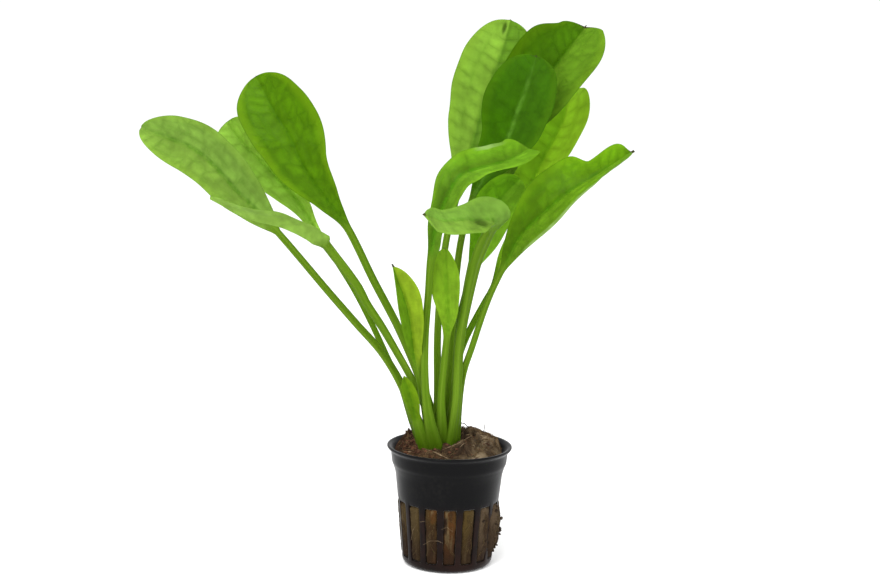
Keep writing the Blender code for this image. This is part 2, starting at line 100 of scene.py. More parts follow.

# Leaves. route: midrib points from foot to tip. blade: length of the blade along the midrib.
# turn: degrees the upper face is turned from the front, at the blade's foot and at its tip.
# fold and curl: degrees each half rises from the midrib, and bends further on the way out.
# swell and blunt: how the outline grows from the stalk and how it closes at the tip.
# stalk: stalk width at its foot and at the blade. flare: how late it widens on the way up.
# point: length of the dark point at the tip.
# wave: how far the margin waves up and down, over the half width.
# trims: a half made wider or narrower near one spot: which half, where along the blade (0 foot,
# 1 tip), how far this fades before and after the spot, and by how much.
# lobe: a half that reaches on past the tip, and how far.
# hollow: a dip in the blade, also painted darker as painted shade: where along it and off the midrib, its
# reach both ways, its depth.
LEAVES = {
    "leaf_far_left": dict(
        route=[(-7.6, -2.1, 43), (-18.9, -4, 73), (-28.3, -9, 90), (-38.7, -13, 102.5),
               (-49, -15, 114.5), (-73, -20, 143), (-86, -22, 156), (-102, -23, 172),
               (-124, -25, 181)],
        blade=69, width=24, turn=(25, 11), fold=16, curl=13,
        swell=0.8, blunt=0.5, stalk=(3.8, 2.8), wave=0.02,
        trims=[("right", 0.74, 0.26, 0.20, -1.0)]),
    "leaf_left_middle": dict(
        route=[(-6.6, 0.7, 43), (-14.8, 3, 59), (-21.4, 4, 76), (-25.7, 5, 83.6), (-29.8, 6, 92),
               (-33.2, 7, 98.8), (-41.6, 9, 114), (-56, 13, 135), (-64, 16, 147), (-73, 18, 157),
               (-86, 18, 169.4), (-95.6, 17, 180.6)],
        blade=70, width=28, turn=(-5, 6), fold=34, curl=22,
        swell=1.45, blunt=0.35, stalk=(3.2, 2.3), wave=0.03),
    "leaf_left_broad": dict(
        route=[(-5.0, 1.8, 43), (-10, 6, 68), (-21, 7, 95), (-33, 5, 118), (-44, 2, 140),
               (-53, 1, 152), (-62, 2, 164), (-68, 5, 176), (-76, 9, 188), (-83, 15, 200)],
        blade=77, width=30, turn=(15, -4), fold=11, curl=9,
        swell=1.35, blunt=0.55, stalk=(3.8, 3.2), point=0.3, wave=0.02,
        trims=[("right", 0.68, 0.12, 0.18, 1.2)]),
    "leaf_left_low": dict(
        route=[(-7.2, -5.2, 43), (-9.8, -6, 66), (-17.2, -13, 82.5), (-22.9, -18, 93.5),
               (-28.7, -24, 104.5), (-34.5, -28.5, 114), (-37.5, -32, 120.5),
               (-45.5, -37, 132.2), (-53, -41, 141.4), (-65, -46, 147.4), (-79, -49, 150.4),
               (-93.6, -50, 157)],
        blade=50, width=22, turn=(119, 105), fold=11, curl=-2,
        swell=0.9, blunt=0.75, stalk=(3.3, 5.0), flare=2.5,
        trims=[("left", 0.08, 0.04, 0.04, 4.0), ("left", 0.32, 0.14, 0.45, -3.4),
               ("right", 0.12, 0.12, 0.18, -1.4)]),
    "young_leaf_left": dict(
        route=[(-5.0, -6.3, 43), (-11, -14, 72), (-15, -17, 91), (-18, -25, 111), (-24, -31, 129)],
        blade=48, width=14, turn=(1, 32), fold=34, curl=13,
        swell=1.3, blunt=0.7, stalk=(3.4, 2.6), point=1.3,
        trims=[("right", 0.06, 0.10, 0.22, 1.5)]),
    "sheath_leaf_left": dict(
        route=[(-6.8, -8.1, 43), (-14, -15, 65), (-16, -18, 74), (-19, -21, 83)],
        blade=22, width=6.5, turn=(0, 0), fold=12, curl=10,
        swell=1.15, blunt=0.8, stalk=(3.4, 3.0)),
    "leaf_arching": dict(
        route=[(-4.1, -8.8, 43), (-10, -17, 73), (-11, -18, 96), (-10, -22, 117), (-9, -27, 136),
               (-6, -31, 150), (1, -31, 165), (8, -28, 168), (20, -24, 171.2), (28.6, -19.3, 175.6)],
        blade=70, width=25, turn=(-11, -66), fold=7, curl=10,
        swell=1.3, blunt=0.2, stalk=(3.6, 2.9), wave=0.02,
        trims=[("right", 0.78, 0.17, 0.08, -6.0), ("left", 0.76, 0.11, 0.10, -1.8),
               ("left", 0.98, 0.03, 0.03, 1.6), ("right", 0.10, 0.08, 0.10, 1.5)]),
    "young_leaf_front": dict(
        route=[(-2.6, -5.6, 43), (-4, -13, 72), (-3, -16, 89), (-2, -18, 105), (-3, -20, 121),
               (-3.7, -21.6, 135.5)],
        blade=39, width=12, turn=(4, -15), fold=11, curl=10,
        swell=1.2, blunt=0.62, stalk=(3.2, 2.8)),
    "leaf_front": dict(
        route=[(-0.2, -6.3, 43), (2.4, -10, 71), (3, -12, 95), (6, -16, 116), (9, -20, 131),
               (13, -27, 143), (15, -38, 149), (5, -52, 151), (-5, -65, 152), (-12, -77, 156)],
        blade=60, width=21, turn=(52, 55), fold=6, curl=12,
        swell=0.6, blunt=0.7, stalk=(3.8, 8.0), flare=2.5, point=0.3,
        trims=[("left", 0.20, 0.17, 0.24, -6.8), ("left", 0.93, 0.06, 0.05, 2.2),
               ("right", 0.57, 0.20, 0.30, -4.8)],
        hollow=(22.2, -1.6, 5.0, 3.2, 1.6)),
    "leaf_inner_right": dict(
        route=[(-1.4, -3.9, 43), (1.2, -5, 70), (2, -6.5, 85), (2.3, -8, 97), (3.5, -9, 108.5),
               (5.9, -10, 119), (8.5, -10, 128.5), (12, -10, 138), (14.9, -9, 147), (19, -7, 155),
               (26, -4, 162)],
        blade=46, width=18, turn=(-15, -15), fold=9, curl=8,
        swell=1.15, blunt=0.5, stalk=(3.0, 2.8), wave=0.03),
    "leaf_right_low": dict(
        route=[(0.5, -2.8, 43), (2.8, -4, 66), (5, -7, 82.6), (8.2, -9, 93.5), (11.3, -11, 104.6),
               (14.2, -13.5, 114), (16.6, -16, 120.5), (20.8, -18, 130), (26, -21, 141),
               (43, -23, 158), (57, -23, 167.4), (68.6, -22, 175.4)],
        blade=73, width=28, turn=(-1, -72), fold=19, curl=9,
        swell=1.0, blunt=0.24, stalk=(3.2, 2.4), point=1.8, wave=0.02,
        trims=[("left", 0.50, 0.22, 0.12, 2.0), ("left", 0.785, 0.045, 0.22, -6.0),
               ("right", 0.68, 0.20, 0.07, -2.8)]),
    "leaf_right_back": dict(
        route=[(-0.1, 0.2, 43), (1.7, 4, 68), (2.9, 6, 85), (5.3, 7, 92.8), (8.6, 8, 100),
               (13.3, 9.2, 109), (16.8, 10.3, 115.5), (20, 13, 127),
               (29, 18, 141), (32, 23, 157), (45, 28, 185), (47, 33, 195)],
        blade=86, width=36, turn=(-19, -38), fold=23, curl=11,
        swell=1.45, blunt=0.3, stalk=(3.2, 2.7), wave=0.04),
    "leaf_tall_centre": dict(
        route=[(-1.4, -1.1, 43), (-1, 0, 69), (0, 0, 94), (1, 1, 119), (3, 2, 137), (7, 1, 153),
               (14, 0, 167), (20.8, -2, 179), (24.2, -4.5, 189.4), (27.8, -6, 200.4), (31, -4, 211.3)],
        blade=67, width=30, turn=(-10, -13), fold=17, curl=11,
        swell=1.35, blunt=0.5, stalk=(3.2, 2.8), point=0.6, wave=0.03),
    "leaf_tall_right": dict(
        route=[(-1.1, 1.4, 43), (2, 9, 67), (3, 12, 92), (6, 14, 117), (10, 15, 136),
               (16, 15, 155), (25, 14, 170), (31, 13, 188), (38, 12, 204), (51, 11, 222.6)],
        blade=74, width=40, turn=(-57, -10), fold=27, curl=12,
        swell=0.8, blunt=0.4, stalk=(3.4, 2.8), point=1.3, wave=0.03,
        trims=[("left", 0.94, 0.06, 0.03, -2.2)], lobe=("right", 5.0)),
    "leaf_tall_back": dict(
        route=[(-3.5, -0.7, 43), (-5, 4, 68), (-6, 8, 93), (-5, 13, 117), (-3, 18, 135),
               (1, 24, 152), (6, 29, 169), (9.3, 34, 183), (13.5, 37, 197), (18.2, 38.5, 211),
               (21.8, 40, 225)],
        blade=79, width=32, turn=(-2, -5), fold=7, curl=7,
        swell=1, blunt=0.5, stalk=(3.4, 2.8), point=0.4, wave=0.03,
        hollow=(75.0, -1.6, 3.4, 1.1, 0.7)),
}

# Greens of each blade's left and right half above. Besides each leaf's own green they hold painted
# light and shade: a half in shade or turned from the light is painted darker, a half lit from behind
# is painted lighter, and leaves in the shade of their neighbours are painted lighter to make up for it.
# slot: the record's material slot; the leaf_dark slot gives the lower face the deeper green. rim: how
# much its margin lightens. quilt: how clearly its veins and the cells between them stand out, the
# cells drawn lighter in their middles as a painted highlight. thin: how much light comes through it.
# deepen: how much darker its lower half is than its tip. rib: how clearly its midrib is drawn.
# pale_rib: the midrib is lighter than the blade. painted_fold_shade: painted shade in the fold on the
# midrib's left. ladder: cross veins in even steps. hem: a margin painted in the pale green of the
# lower face, as if turned up there: which half, and from where to where along the blade.
PALE_UNDER = (0.215, 0.360, 0.057)
DEEP_UNDER = (0.115, 0.225, 0.018)
LEAF_GREENS = {
    "leaf_far_left": dict(slot="leaf_pale", left=(0.164, 0.274, 0.0397), right=(0.146, 0.250, 0.0392),
                          rib=0.8, painted_fold_shade=0.12),
    "leaf_left_middle": dict(slot="leaf_pale", left=(0.329, 0.504, 0.0913), right=(0.323, 0.519, 0.0725),
                             thin=0.6, deepen=-0.12),
    "leaf_left_broad": dict(slot="leaf_dark", left=(0.069, 0.163, 0.0026), right=(0.062, 0.149, 0.0020),
                            rim=0.55),
    "leaf_left_low": dict(slot="leaf_pale", left=(0.145, 0.262, 0.028), right=(0.120, 0.228, 0.020),
                          quilt=0.5),
    "young_leaf_left": dict(slot="leaf_mid", left=(0.116, 0.239, 0.0094), right=(0.228, 0.340, 0.0163),
                            quilt=0.2),
    "sheath_leaf_left": dict(slot="leaf_mid", left=(0.084, 0.171, 0.0042), right=(0.121, 0.220, 0.0047),
                             quilt=0.2),
    "leaf_arching": dict(slot="leaf_mid", left=(0.131, 0.294, 0.0125), right=(0.146, 0.318, 0.0166),
                         rib=0.9, painted_fold_shade=0.42, deepen=0.40, hem=("left", 0.74, 0.95)),
    "young_leaf_front": dict(slot="leaf_mid", left=(0.163, 0.306, 0.0128), right=(0.165, 0.307, 0.0147),
                             quilt=0.2),
    "leaf_front": dict(slot="leaf_pale", left=(0.193, 0.333, 0.0462), right=(0.184, 0.346, 0.0465),
                       quilt=0.5, deepen=0.15),
    "leaf_inner_right": dict(slot="leaf_dark", left=(0.133, 0.335, 0.0075), right=(0.208, 0.441, 0.0224)),
    "leaf_right_low": dict(slot="leaf_dark", left=(0.111, 0.254, 0.0046), right=(0.150, 0.312, 0.0135),
                           rib=0.7, painted_fold_shade=0.22, deepen=0.34, hem=("right", 0.22, 0.86)),
    "leaf_right_back": dict(slot="leaf_pale", left=(0.231, 0.415, 0.0224), right=(0.472, 0.659, 0.0588),
                            thin=0.65, ladder=True),
    "leaf_tall_centre": dict(slot="leaf_dark", left=(0.032, 0.105, 0.0011), right=(0.035, 0.107, 0.0028),
                             rim=0.15, rib=0.52, pale_rib=True, quilt=0.6, deepen=-0.22),
    "leaf_tall_right": dict(slot="leaf_dark", left=(0.049, 0.129, 0.0022), right=(0.106, 0.216, 0.0125)),
    "leaf_tall_back": dict(slot="leaf_pale", left=(0.178, 0.316, 0.0340), right=(0.082, 0.173, 0.0114),
                           quilt=1.2, ladder=True),
}
STALK_GREEN = (0.078, 0.161, 0.005)
STALK_LIGHT = (0.148, 0.248, 0.019)
STALK_FOOT_SHADE = (0.040, 0.083, 0.0021)
DEEP_GREEN_TINT = (0.42, 0.62, 0.30)    # what veins and margins keep of red, green and blue
TIP_BROWN = (0.040, 0.028, 0.016)
THROUGH_GREEN = (0.400, 0.640, 0.025)
YELLOW_RIM = (0.200, 0.330, 0.008)
PALE_HEM = (0.270, 0.400, 0.130)
PALE_RIB = (0.125, 0.290, 0.030)


# Procedural materials

class Finish:
    """One procedural material, with short ways to lay its nodes."""

    def __init__(self, name):
        self.material = bpy.data.materials.new(name)
        self.material.use_nodes = True
        self.tree = self.material.node_tree
        self.shader = self.tree.nodes["Principled BSDF"]
        self.place = self.node("ShaderNodeTexCoord").outputs["Object"]

    def node(self, kind, **settings):
        made = self.tree.nodes.new(kind)
        for key, value in settings.items():
            setattr(made, key, value)
        return made

    def feed(self, socket, value):
        """Links an output to the socket, or sets the socket to a number or colour."""
        if isinstance(value, bpy.types.NodeSocket):
            self.tree.links.new(value, socket)
        elif isinstance(value, tuple) and len(value) == 3 and socket.type == "RGBA":
            socket.default_value = (*value, 1.0)
        else:
            socket.default_value = value

    def math(self, operation, *values):
        made = self.node("ShaderNodeMath", operation=operation)
        for socket, value in zip(made.inputs, values):
            self.feed(socket, value)
        return made.outputs[0]

    def times(self, *values):
        product = values[0]
        for value in values[1:]:
            product = self.math("MULTIPLY", product, value)
        return product

    def more(self, value, factor, base):
        """The value times the factor, added to the base."""
        return self.math("MULTIPLY_ADD", value, factor, base)

    def away(self, value, middle):
        """How far a value is from a middle."""
        return self.math("ABSOLUTE", self.math("SUBTRACT", value, middle))

    def fade(self, value, start, end, low=0.0, high=1.0):
        """Smooth step: low before start, high after end."""
        made = self.node("ShaderNodeMapRange", interpolation_type="SMOOTHSTEP")
        for socket, item in zip(made.inputs, (value, start, end, low, high)):
            self.feed(socket, item)
        return made.outputs[0]

    def mix(self, share, first, second):
        made = self.node("ShaderNodeMix", data_type="RGBA")
        self.feed(made.inputs[0], share)
        self.feed(made.inputs[6], first)
        self.feed(made.inputs[7], second)
        return made.outputs[2]

    def scaled(self, colour, share):
        made = self.node("ShaderNodeVectorMath", operation="SCALE")
        self.feed(made.inputs[0], colour)
        self.feed(made.inputs["Scale"], share)
        return made.outputs[0]

    def tinted(self, colour, tint):
        made = self.node("ShaderNodeVectorMath", operation="MULTIPLY")
        self.feed(made.inputs[0], colour)
        self.feed(made.inputs[1], tint)
        return made.outputs[0]

    def grain(self, scale, detail=3.0, rough=0.5, place=None, bend=0.0):
        made = self.node("ShaderNodeTexNoise")
        self.feed(made.inputs["Vector"], place or self.place)
        settings = {"Scale": scale, "Detail": detail, "Roughness": rough, "Distortion": bend}
        for key, value in settings.items():
            made.inputs[key].default_value = value
        return made.outputs["Fac"]

    def net(self, place, scale):
        """How far a point is from the nearest line of an uneven net."""
        made = self.node("ShaderNodeTexVoronoi", feature="DISTANCE_TO_EDGE")
        self.feed(made.inputs["Vector"], place)
        made.inputs["Scale"].default_value = scale
        return made.outputs["Distance"]

    def carried(self, name):
        """A value that the mesh carries at each point."""
        return self.node("ShaderNodeAttribute", attribute_name=name).outputs["Fac"]

    def carried_point(self, name):
        return self.node("ShaderNodeAttribute", attribute_name=name).outputs["Vector"]

    def point(self, *parts):
        made = self.node("ShaderNodeCombineXYZ")
        for socket, value in zip(made.inputs, parts):
            self.feed(socket, value)
        return made.outputs[0]

    def parts(self):
        made = self.node("ShaderNodeSeparateXYZ")
        self.feed(made.inputs[0], self.place)
        return tuple(made.outputs)

    def stretched(self, size, place=None):
        made = self.node("ShaderNodeMapping")
        self.feed(made.inputs["Vector"], place or self.place)
        made.inputs["Scale"].default_value = size
        return made.outputs[0]

    def bump(self, height, depth, strength=1.0):
        made = self.node("ShaderNodeBump")
        made.inputs["Strength"].default_value = strength
        made.inputs["Distance"].default_value = depth
        self.feed(made.inputs["Height"], height)
        self.feed(self.shader.inputs["Normal"], made.outputs[0])
        return made.outputs[0]

    def set(self, **values):
        """Sets or links the shader's own sockets."""
        for key, value in values.items():
            self.feed(self.shader.inputs[key.replace("_", " ")], value)

    def let_light_through(self, colour, share, normal):
        """Mixes in light that comes through from the far side."""
        through = self.node("ShaderNodeBsdfTranslucent")
        self.feed(through.inputs["Color"], colour)
        self.feed(through.inputs["Normal"], normal)
        blend = self.node("ShaderNodeMixShader")
        blend.inputs[0].default_value = share
        self.tree.links.new(self.shader.outputs[0], blend.inputs[1])
        self.tree.links.new(through.outputs[0], blend.inputs[2])
        out = self.tree.nodes["Material Output"]
        self.tree.links.new(blend.outputs[0], out.inputs["Surface"])


VEINS_AT = (0.34, 0.68)      # long veins, as shares of the half width
CROSS_VEIN_GAP = 5.2         # mm between cross veins along the blade
CELL_WIDE, CELL_LONG = 5.6, 5.0


def leaf_places(f):
    """What a leaf carries at each point, and slow changes over its blade."""
    keys = ("across", "off_midrib", "run", "along", "upper", "from_foot", "sunk")
    at = SimpleNamespace(**{key: f.carried(key) for key in keys})
    at.out = f.math("ABSOLUTE", at.across)
    at.off = f.math("ABSOLUTE", at.off_midrib)
    at.blade = f.fade(at.along, 0.0, 0.12)
    at.flat = f.point(at.off_midrib, at.run, 0.0)
    at.slow = f.grain(0.055, 1.0, place=at.flat)
    at.patchy = f.fade(f.grain(0.11, 1.0, place=at.flat), 0.34, 0.62)
    at.wandering = f.more(at.slow, 0.16, f.math("ADD", at.out, -0.08))
    return at


def long_veins(f, at, shares):
    """Broken lines along the blade, at shares of its half width."""
    lines = 0.0
    for share in shares:
        lines = f.math("MAXIMUM", lines, f.fade(f.away(at.wandering, share), 0.0, 0.09, 0.6, 0.0))
    return f.times(lines, f.fade(f.grain(0.16, 2.0, place=at.flat), 0.40, 0.60, 0.1, 1.0))


def stepped_veins(f, at):
    """Cross veins in even steps, out of step either side of a long vein, and the cells between."""
    strip = f.times(at.wandering, 2.0)
    beat = f.math("SUBTRACT", f.times(at.run, 1 / CROSS_VEIN_GAP), f.times(at.off, 0.05))
    beat = f.more(f.math("FLOOR", strip), 0.22, f.math("ADD", at.slow, beat))
    crest = f.away(f.math("FRACT", beat), 0.5)
    cell_rise_and_highlight = f.math("SINE", f.times(f.math("FRACT", strip), math.pi))
    cell_rise_and_highlight = f.times(f.fade(crest, 0.50, 0.12), f.more(cell_rise_and_highlight, 0.6, 0.4))
    return f.fade(crest, 0.40, 0.50, 0.0, 0.7), cell_rise_and_highlight


def netted_veins(f, at):
    """Cross veins as an uneven net that sweeps back from the midrib, and the cells between."""
    swept = f.point(f.more(at.slow, 2.0, at.off_midrib), f.more(at.off, -0.4, at.run), 0.0)
    edge = f.net(f.stretched((1 / CELL_WIDE, 1 / CELL_LONG, 1.0), swept), 1.0)
    return f.fade(edge, 0.0, 0.12, 0.7, 0.0), f.fade(edge, 0.06, 0.40)


def hem_band(f, at, half, start, end):
    """The margin of one half, from one place along the blade to another."""
    outwards = 1 if half == "right" else -1
    side = f.fade(at.across, outwards * 0.79, outwards * 0.86)
    reach = f.times(f.fade(at.along, start - 0.06, start + 0.02), f.fade(at.along, end + 0.03, end - 0.08))
    return f.times(side, reach, f.fade(at.patchy, 0.0, 1.0, 0.45, 0.9))


def blade_tone(f, at, cell_rise_and_highlight, quilt, deepen, painted_fold_shade):
    """How light a blade is from place to place over its halves' greens: random mottle, the cells' painted
    highlight, a darker lower part and the painted shade in the fold.
    """
    value = f.more(f.fade(f.grain(0.10, 4.0, 0.6, place=at.flat), 0.33, 0.67), 0.30, 0.73)
    value = f.more(f.fade(f.grain(0.42, 3.0, 0.55, place=at.flat), 0.35, 0.65), 0.12, value)
    # Painted highlight: the raised cells are drawn lighter in their middles
    value = f.more(cell_rise_and_highlight, 0.26 * quilt, value)
    value = f.times(value, f.fade(at.along, 0.35, 0.75, 1.0 - deepen, 1.04))
    value = f.times(value, f.fade(at.along, 0.02, 0.30, 0.93, 1.0))
    # Painted shade in the fold, along the midrib on the left half
    if painted_fold_shade:
        inner = f.times(f.fade(at.across, -0.85, -0.05), f.fade(at.across, 0.04, -0.04))
        value = f.times(value, f.more(inner, -painted_fold_shade, 1.0))
    return value


def stalk_tone(f, at, streak):
    stalk = f.mix(f.fade(streak, 0.36, 0.66, 0.18, 0.82), STALK_GREEN, STALK_LIGHT)
    # Painted shade: the stalk darkens towards its foot, where the crowded stalks shade it
    return f.mix(f.fade(at.from_foot, 30.0, 7.0, 0.0, 0.85), stalk, STALK_FOOT_SHADE)


def leaf_relief(f, at, veins, midrib, cell_rise_and_highlight, streak):
    """Sunk veins and raised cells above, the same turned over below, and a streaked stalk."""
    facing = f.more(at.upper, 2.0, -1.0)
    relief = f.more(veins, -0.6, f.times(midrib, at.blade, -0.6))
    relief = f.more(cell_rise_and_highlight, 0.6, relief)
    relief = f.more(f.grain(900, 3.0), 0.30, f.times(relief, facing))
    relief = f.more(f.times(streak, f.math("SUBTRACT", 1.0, at.blade)), 0.9, relief)
    return f.bump(relief, 0.00030, 0.5)


def leaf_skin(name, left, right, rim=0.3, quilt=1.0, thin=0.42, rib=0.50, pale_rib=False, deepen=0.0,
              painted_fold_shade=0.0, ladder=False, hem=None, under=PALE_UNDER):
    """Leaf: mottled halves with painted light and shade, quilted cells between veins with a painted
    highlight, painted shade in the fold and the dip, a broken midrib, a rim, a streaked stalk with painted
    shade at its foot.
    """
    f = Finish(name + "_skin")
    at = leaf_places(f)
    lines = long_veins(f, at, (0.5,) if ladder else VEINS_AT)
    cross, cell_rise_and_highlight = stepped_veins(f, at) if ladder else netted_veins(f, at)
    cross = f.times(cross, f.fade(at.out, 0.96, 0.84), at.patchy)
    cell_rise_and_highlight = f.times(cell_rise_and_highlight, f.more(at.patchy, 0.6, 0.4))
    clear = min(quilt, 1.0)
    veins = f.times(f.math("MAXIMUM", lines, cross), f.times(at.blade, clear))
    broken = f.fade(f.grain(0.28, 2.0, place=at.flat), 0.38, 0.60, 0.35, 1.0)
    midrib = f.times(f.fade(at.off, 0.2, 1.5, 1.0, 0.0), f.fade(at.along, 1.0, 0.70, 0.10, 1.0), broken)

    value = blade_tone(f, at, cell_rise_and_highlight, quilt, deepen, painted_fold_shade)
    # The halves' greens: each leaf's own green with painted light and shade, darker where a half is shaded,
    # lighter where it is lit from behind
    half = f.mix(f.fade(at.across, -0.05, 0.05), left, right)
    dark = f.tinted(half, DEEP_GREEN_TINT)
    light = f.scaled(f.mix(0.35, half, YELLOW_RIM), 1.25)
    band = f.times(f.fade(at.out, 0.66, 0.90, 0.0, rim), f.fade(at.along, 0.10, 0.40))
    colour = f.mix(band, f.scaled(half, value), light)
    colour = f.mix(f.times(veins, 0.36), colour, dark)
    colour = f.mix(f.times(midrib, rib), colour, PALE_RIB if pale_rib else dark)
    colour = f.mix(f.fade(at.out, 0.955, 0.995, 0.0, 0.40), colour, dark)
    if hem:
        colour = f.mix(hem_band(f, at, *hem), colour, PALE_HEM)
    # Painted shade in the dip: the blade is drawn darker where it sinks
    colour = f.mix(f.fade(at.sunk, 0.25, 0.85), colour, f.scaled(half, 0.30))
    below = f.mix(f.times(veins, 0.25), f.scaled(under, value), half)
    colour = f.mix(at.upper, below, colour)
    streak = f.grain(1.0, 3.0, place=f.carried_point("around"))
    colour = f.mix(at.blade, stalk_tone(f, at, streak), colour)
    colour = f.mix(f.fade(at.along, 0.992, 1.004), colour, TIP_BROWN)

    normal = leaf_relief(f, at, veins, midrib, f.times(cell_rise_and_highlight, clear), streak)
    gloss = f.fade(f.grain(260, 3.0), 0.3, 0.75, 0.36, 0.50)
    f.set(Base_Color=colour, Specular_IOR_Level=0.035,
          Roughness=f.more(f.math("SUBTRACT", 1.0, at.upper), 0.10, gloss))
    f.let_light_through(f.mix(0.45, colour, THROUGH_GREEN), thin, normal)
    return f.material


def moulded_plastic():
    """Black polypropylene: fine moulded grain, faint upright flow lines and a film of dust."""
    f = Finish("moulded_black_plastic")
    flow = f.grain(1.0, 4.0, place=f.stretched((900, 900, 40)))
    patches = f.grain(55, 4.0, 0.6)
    dust = f.times(f.fade(patches, 0.48, 0.74), f.fade(f.grain(700, 4.0), 0.35, 0.7))
    colour = f.mix(f.times(dust, 0.30), (0.0026, 0.0026, 0.0029), (0.014, 0.013, 0.0115))
    low = f.fade(f.parts()[2], 0.030, 0.022)
    stain = f.times(low, f.fade(f.grain(150, 4.0), 0.32, 0.66, 0.35, 1.0))
    colour = f.mix(f.times(stain, 0.85), colour, (0.0115, 0.0050, 0.0036))
    f.bump(f.math("ADD", f.times(f.grain(2600, 3.0), 0.5), f.times(flow, 0.5)), 0.00006, 0.6)
    f.set(Base_Color=colour, Roughness=f.more(dust, 0.18, f.fade(patches, 0.3, 0.7, 0.30, 0.40)),
          Specular_IOR_Level=0.05, Sheen_Weight=0.125, Sheen_Roughness=0.35)
    return f.material


def top_browns(f, x, z):
    """Reddish crumbs on the left of the top, and a greyer mound on its right."""
    patches = f.grain(95, 5.0, 0.6, bend=0.4)
    colour = f.mix(f.fade(patches, 0.36, 0.62), (0.030, 0.017, 0.009), (0.070, 0.047, 0.026))
    red = f.times(f.fade(x, -0.006, -0.014), f.fade(z, 0.040, 0.046))
    colour = f.mix(f.times(red, 0.75), colour, (0.036, 0.013, 0.007))
    grey = f.times(f.fade(x, 0.002, 0.010), f.fade(z, 0.044, 0.049))
    grey = f.times(grey, f.fade(patches, 0.30, 0.60, 0.45, 0.95))
    return f.mix(grey, colour, (0.128, 0.095, 0.058))


def slot_browns(f, colour, x, z, low):
    """Olive wool low down, tan at the sides, rust in the middle slots, dark at the pot's foot."""
    zones = f.grain(1.0, 2.0, place=f.stretched((190, 190, 60)))
    streaks = f.grain(1.0, 3.0, place=f.stretched((330, 330, 55)))
    side = f.fade(f.math("ABSOLUTE", x), 0.004, 0.016)
    middle = f.fade(f.away(x, 0.0008), 0.0055, 0.0030)
    beside = f.times(f.fade(f.away(x, -0.0072), 0.0045, 0.0020), f.fade(zones, 0.38, 0.52, 0.30, 0.9))
    rust = f.times(f.math("MAXIMUM", middle, beside), f.fade(streaks, 0.34, 0.60, 0.55, 1.0))
    colour = f.mix(low, colour, (0.040, 0.0255, 0.0066))
    colour = f.mix(f.times(low, side, 0.7), colour, (0.046, 0.032, 0.0145))
    colour = f.mix(f.times(low, rust), colour, (0.046, 0.0175, 0.0045))
    colour = f.mix(f.times(low, f.fade(streaks, 0.54, 0.66, 0.0, 0.75)), colour, (0.094, 0.068, 0.033))
    colour = f.mix(f.times(low, f.fade(x, 0.009, 0.014, 0.0, 0.8)), colour, (0.052, 0.036, 0.023))
    dark = f.times(low, f.fade(zones, 0.47, 0.33, 0.0, 0.75))
    colour = f.mix(dark, colour, (0.016, 0.008, 0.004))
    foot = f.times(f.fade(z, 0.023, 0.0065, 0.0, 0.95), f.fade(streaks, 0.3, 0.6, 1.0, 0.75))
    bruise = f.times(f.fade(f.away(x, -0.0016), 0.0017, 0.0009), f.fade(f.away(z, 0.021), 0.0050, 0.0025))
    return f.mix(f.math("MAXIMUM", foot, bruise), colour, (0.012, 0.006, 0.0035))


def wool_felt():
    """Damp wool: browns of its top and its slots, painted highlights on folds, painted shade in hollows and
    creases, and fine strands.
    """
    f = Finish("brown_growing_wool")
    x, _, z = f.parts()
    low = f.fade(z, 0.034, 0.030)
    colour = slot_browns(f, top_browns(f, x, z), x, z, low)
    shade = f.carried("shade")
    # Painted highlight on the folds and painted shade in the hollows of the top
    colour = f.mix(f.fade(shade, 0.15, 0.75, 0.0, 0.75), colour, (0.200, 0.155, 0.098))
    colour = f.mix(f.fade(shade, -0.10, -0.75, 0.0, 0.80), colour, (0.020, 0.011, 0.006))
    # Painted shade in the creases of the top and where the wool sinks back at the slots' edges
    colour = f.mix(f.times(f.carried("crease_and_shade"), 0.75), colour, (0.012, 0.008, 0.005))
    strands = f.grain(1.0, 5.0, 0.65, place=f.stretched((900, 900, 150)), bend=1.5)
    fleck = f.more(low, -0.6, 0.85)
    light = f.times(f.fade(strands, 0.55, 0.80, 0.0, 0.30), fleck)
    dark = f.times(f.fade(strands, 0.44, 0.26, 0.0, 0.38), fleck)
    colour = f.mix(dark, f.mix(light, colour, (0.150, 0.100, 0.050)), (0.014, 0.008, 0.005))
    relief = f.math("ADD", strands, f.times(f.fade(f.net(f.place, 620), 0.0, 0.3), 0.35))
    f.bump(f.more(f.grain(1500, 4.0), 0.4, relief), 0.0005, 0.7)
    f.set(Base_Color=colour, Roughness=0.92, Specular_IOR_Level=0.06)
    return f.material


def strand_finish(name, dark, light):
    """Fibres and roots: each varies from dark to light along its way."""
    f = Finish(name)
    colour = f.mix(f.fade(f.grain(330, 4.0, 0.6), 0.36, 0.64), dark, light)
    f.bump(f.grain(4200, 2.0), 0.00008, 0.6)
    f.set(Base_Color=colour, Roughness=0.85, Specular_IOR_Level=0.08)
    return f.material


def pale_floor():
    f = Finish("pale_floor")
    colour = f.mix(f.grain(6.0, 2.0), (0.965, 0.965, 0.965), (0.98, 0.98, 0.98))
    f.set(Base_Color=colour, Roughness=0.9, Specular_IOR_Level=0.1)
    return f.material


# Making pieces

def placed(name, data):
    """Puts a mesh, curve, light or camera into the scene."""
    obj = bpy.data.objects.new(name, data)
    bpy.context.scene.collection.objects.link(obj)
    return obj


def riding(name, mesh, material):
    """A finished mesh in metres as a piece of the plant."""
    mesh.shade_smooth()
    mesh.materials.clear()
    mesh.materials.append(material)
    obj = placed(name, mesh)
    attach(obj, "root")
    return obj


def piece(bm, name, material, node=None, sharp=50):
    """Finishes a bmesh in millimetres as a piece in metres, which may stand for a node."""
    bmesh.ops.recalc_face_normals(bm, faces=bm.faces)
    bm.transform(Matrix.Scale(MM, 4))
    mesh = bpy.data.meshes.new(name)
    bm.to_mesh(mesh)
    bm.free()
    obj = riding(name, mesh, material)
    mesh.set_sharp_from_angle(angle=math.radians(sharp))
    if node:
        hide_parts(node)
    return obj


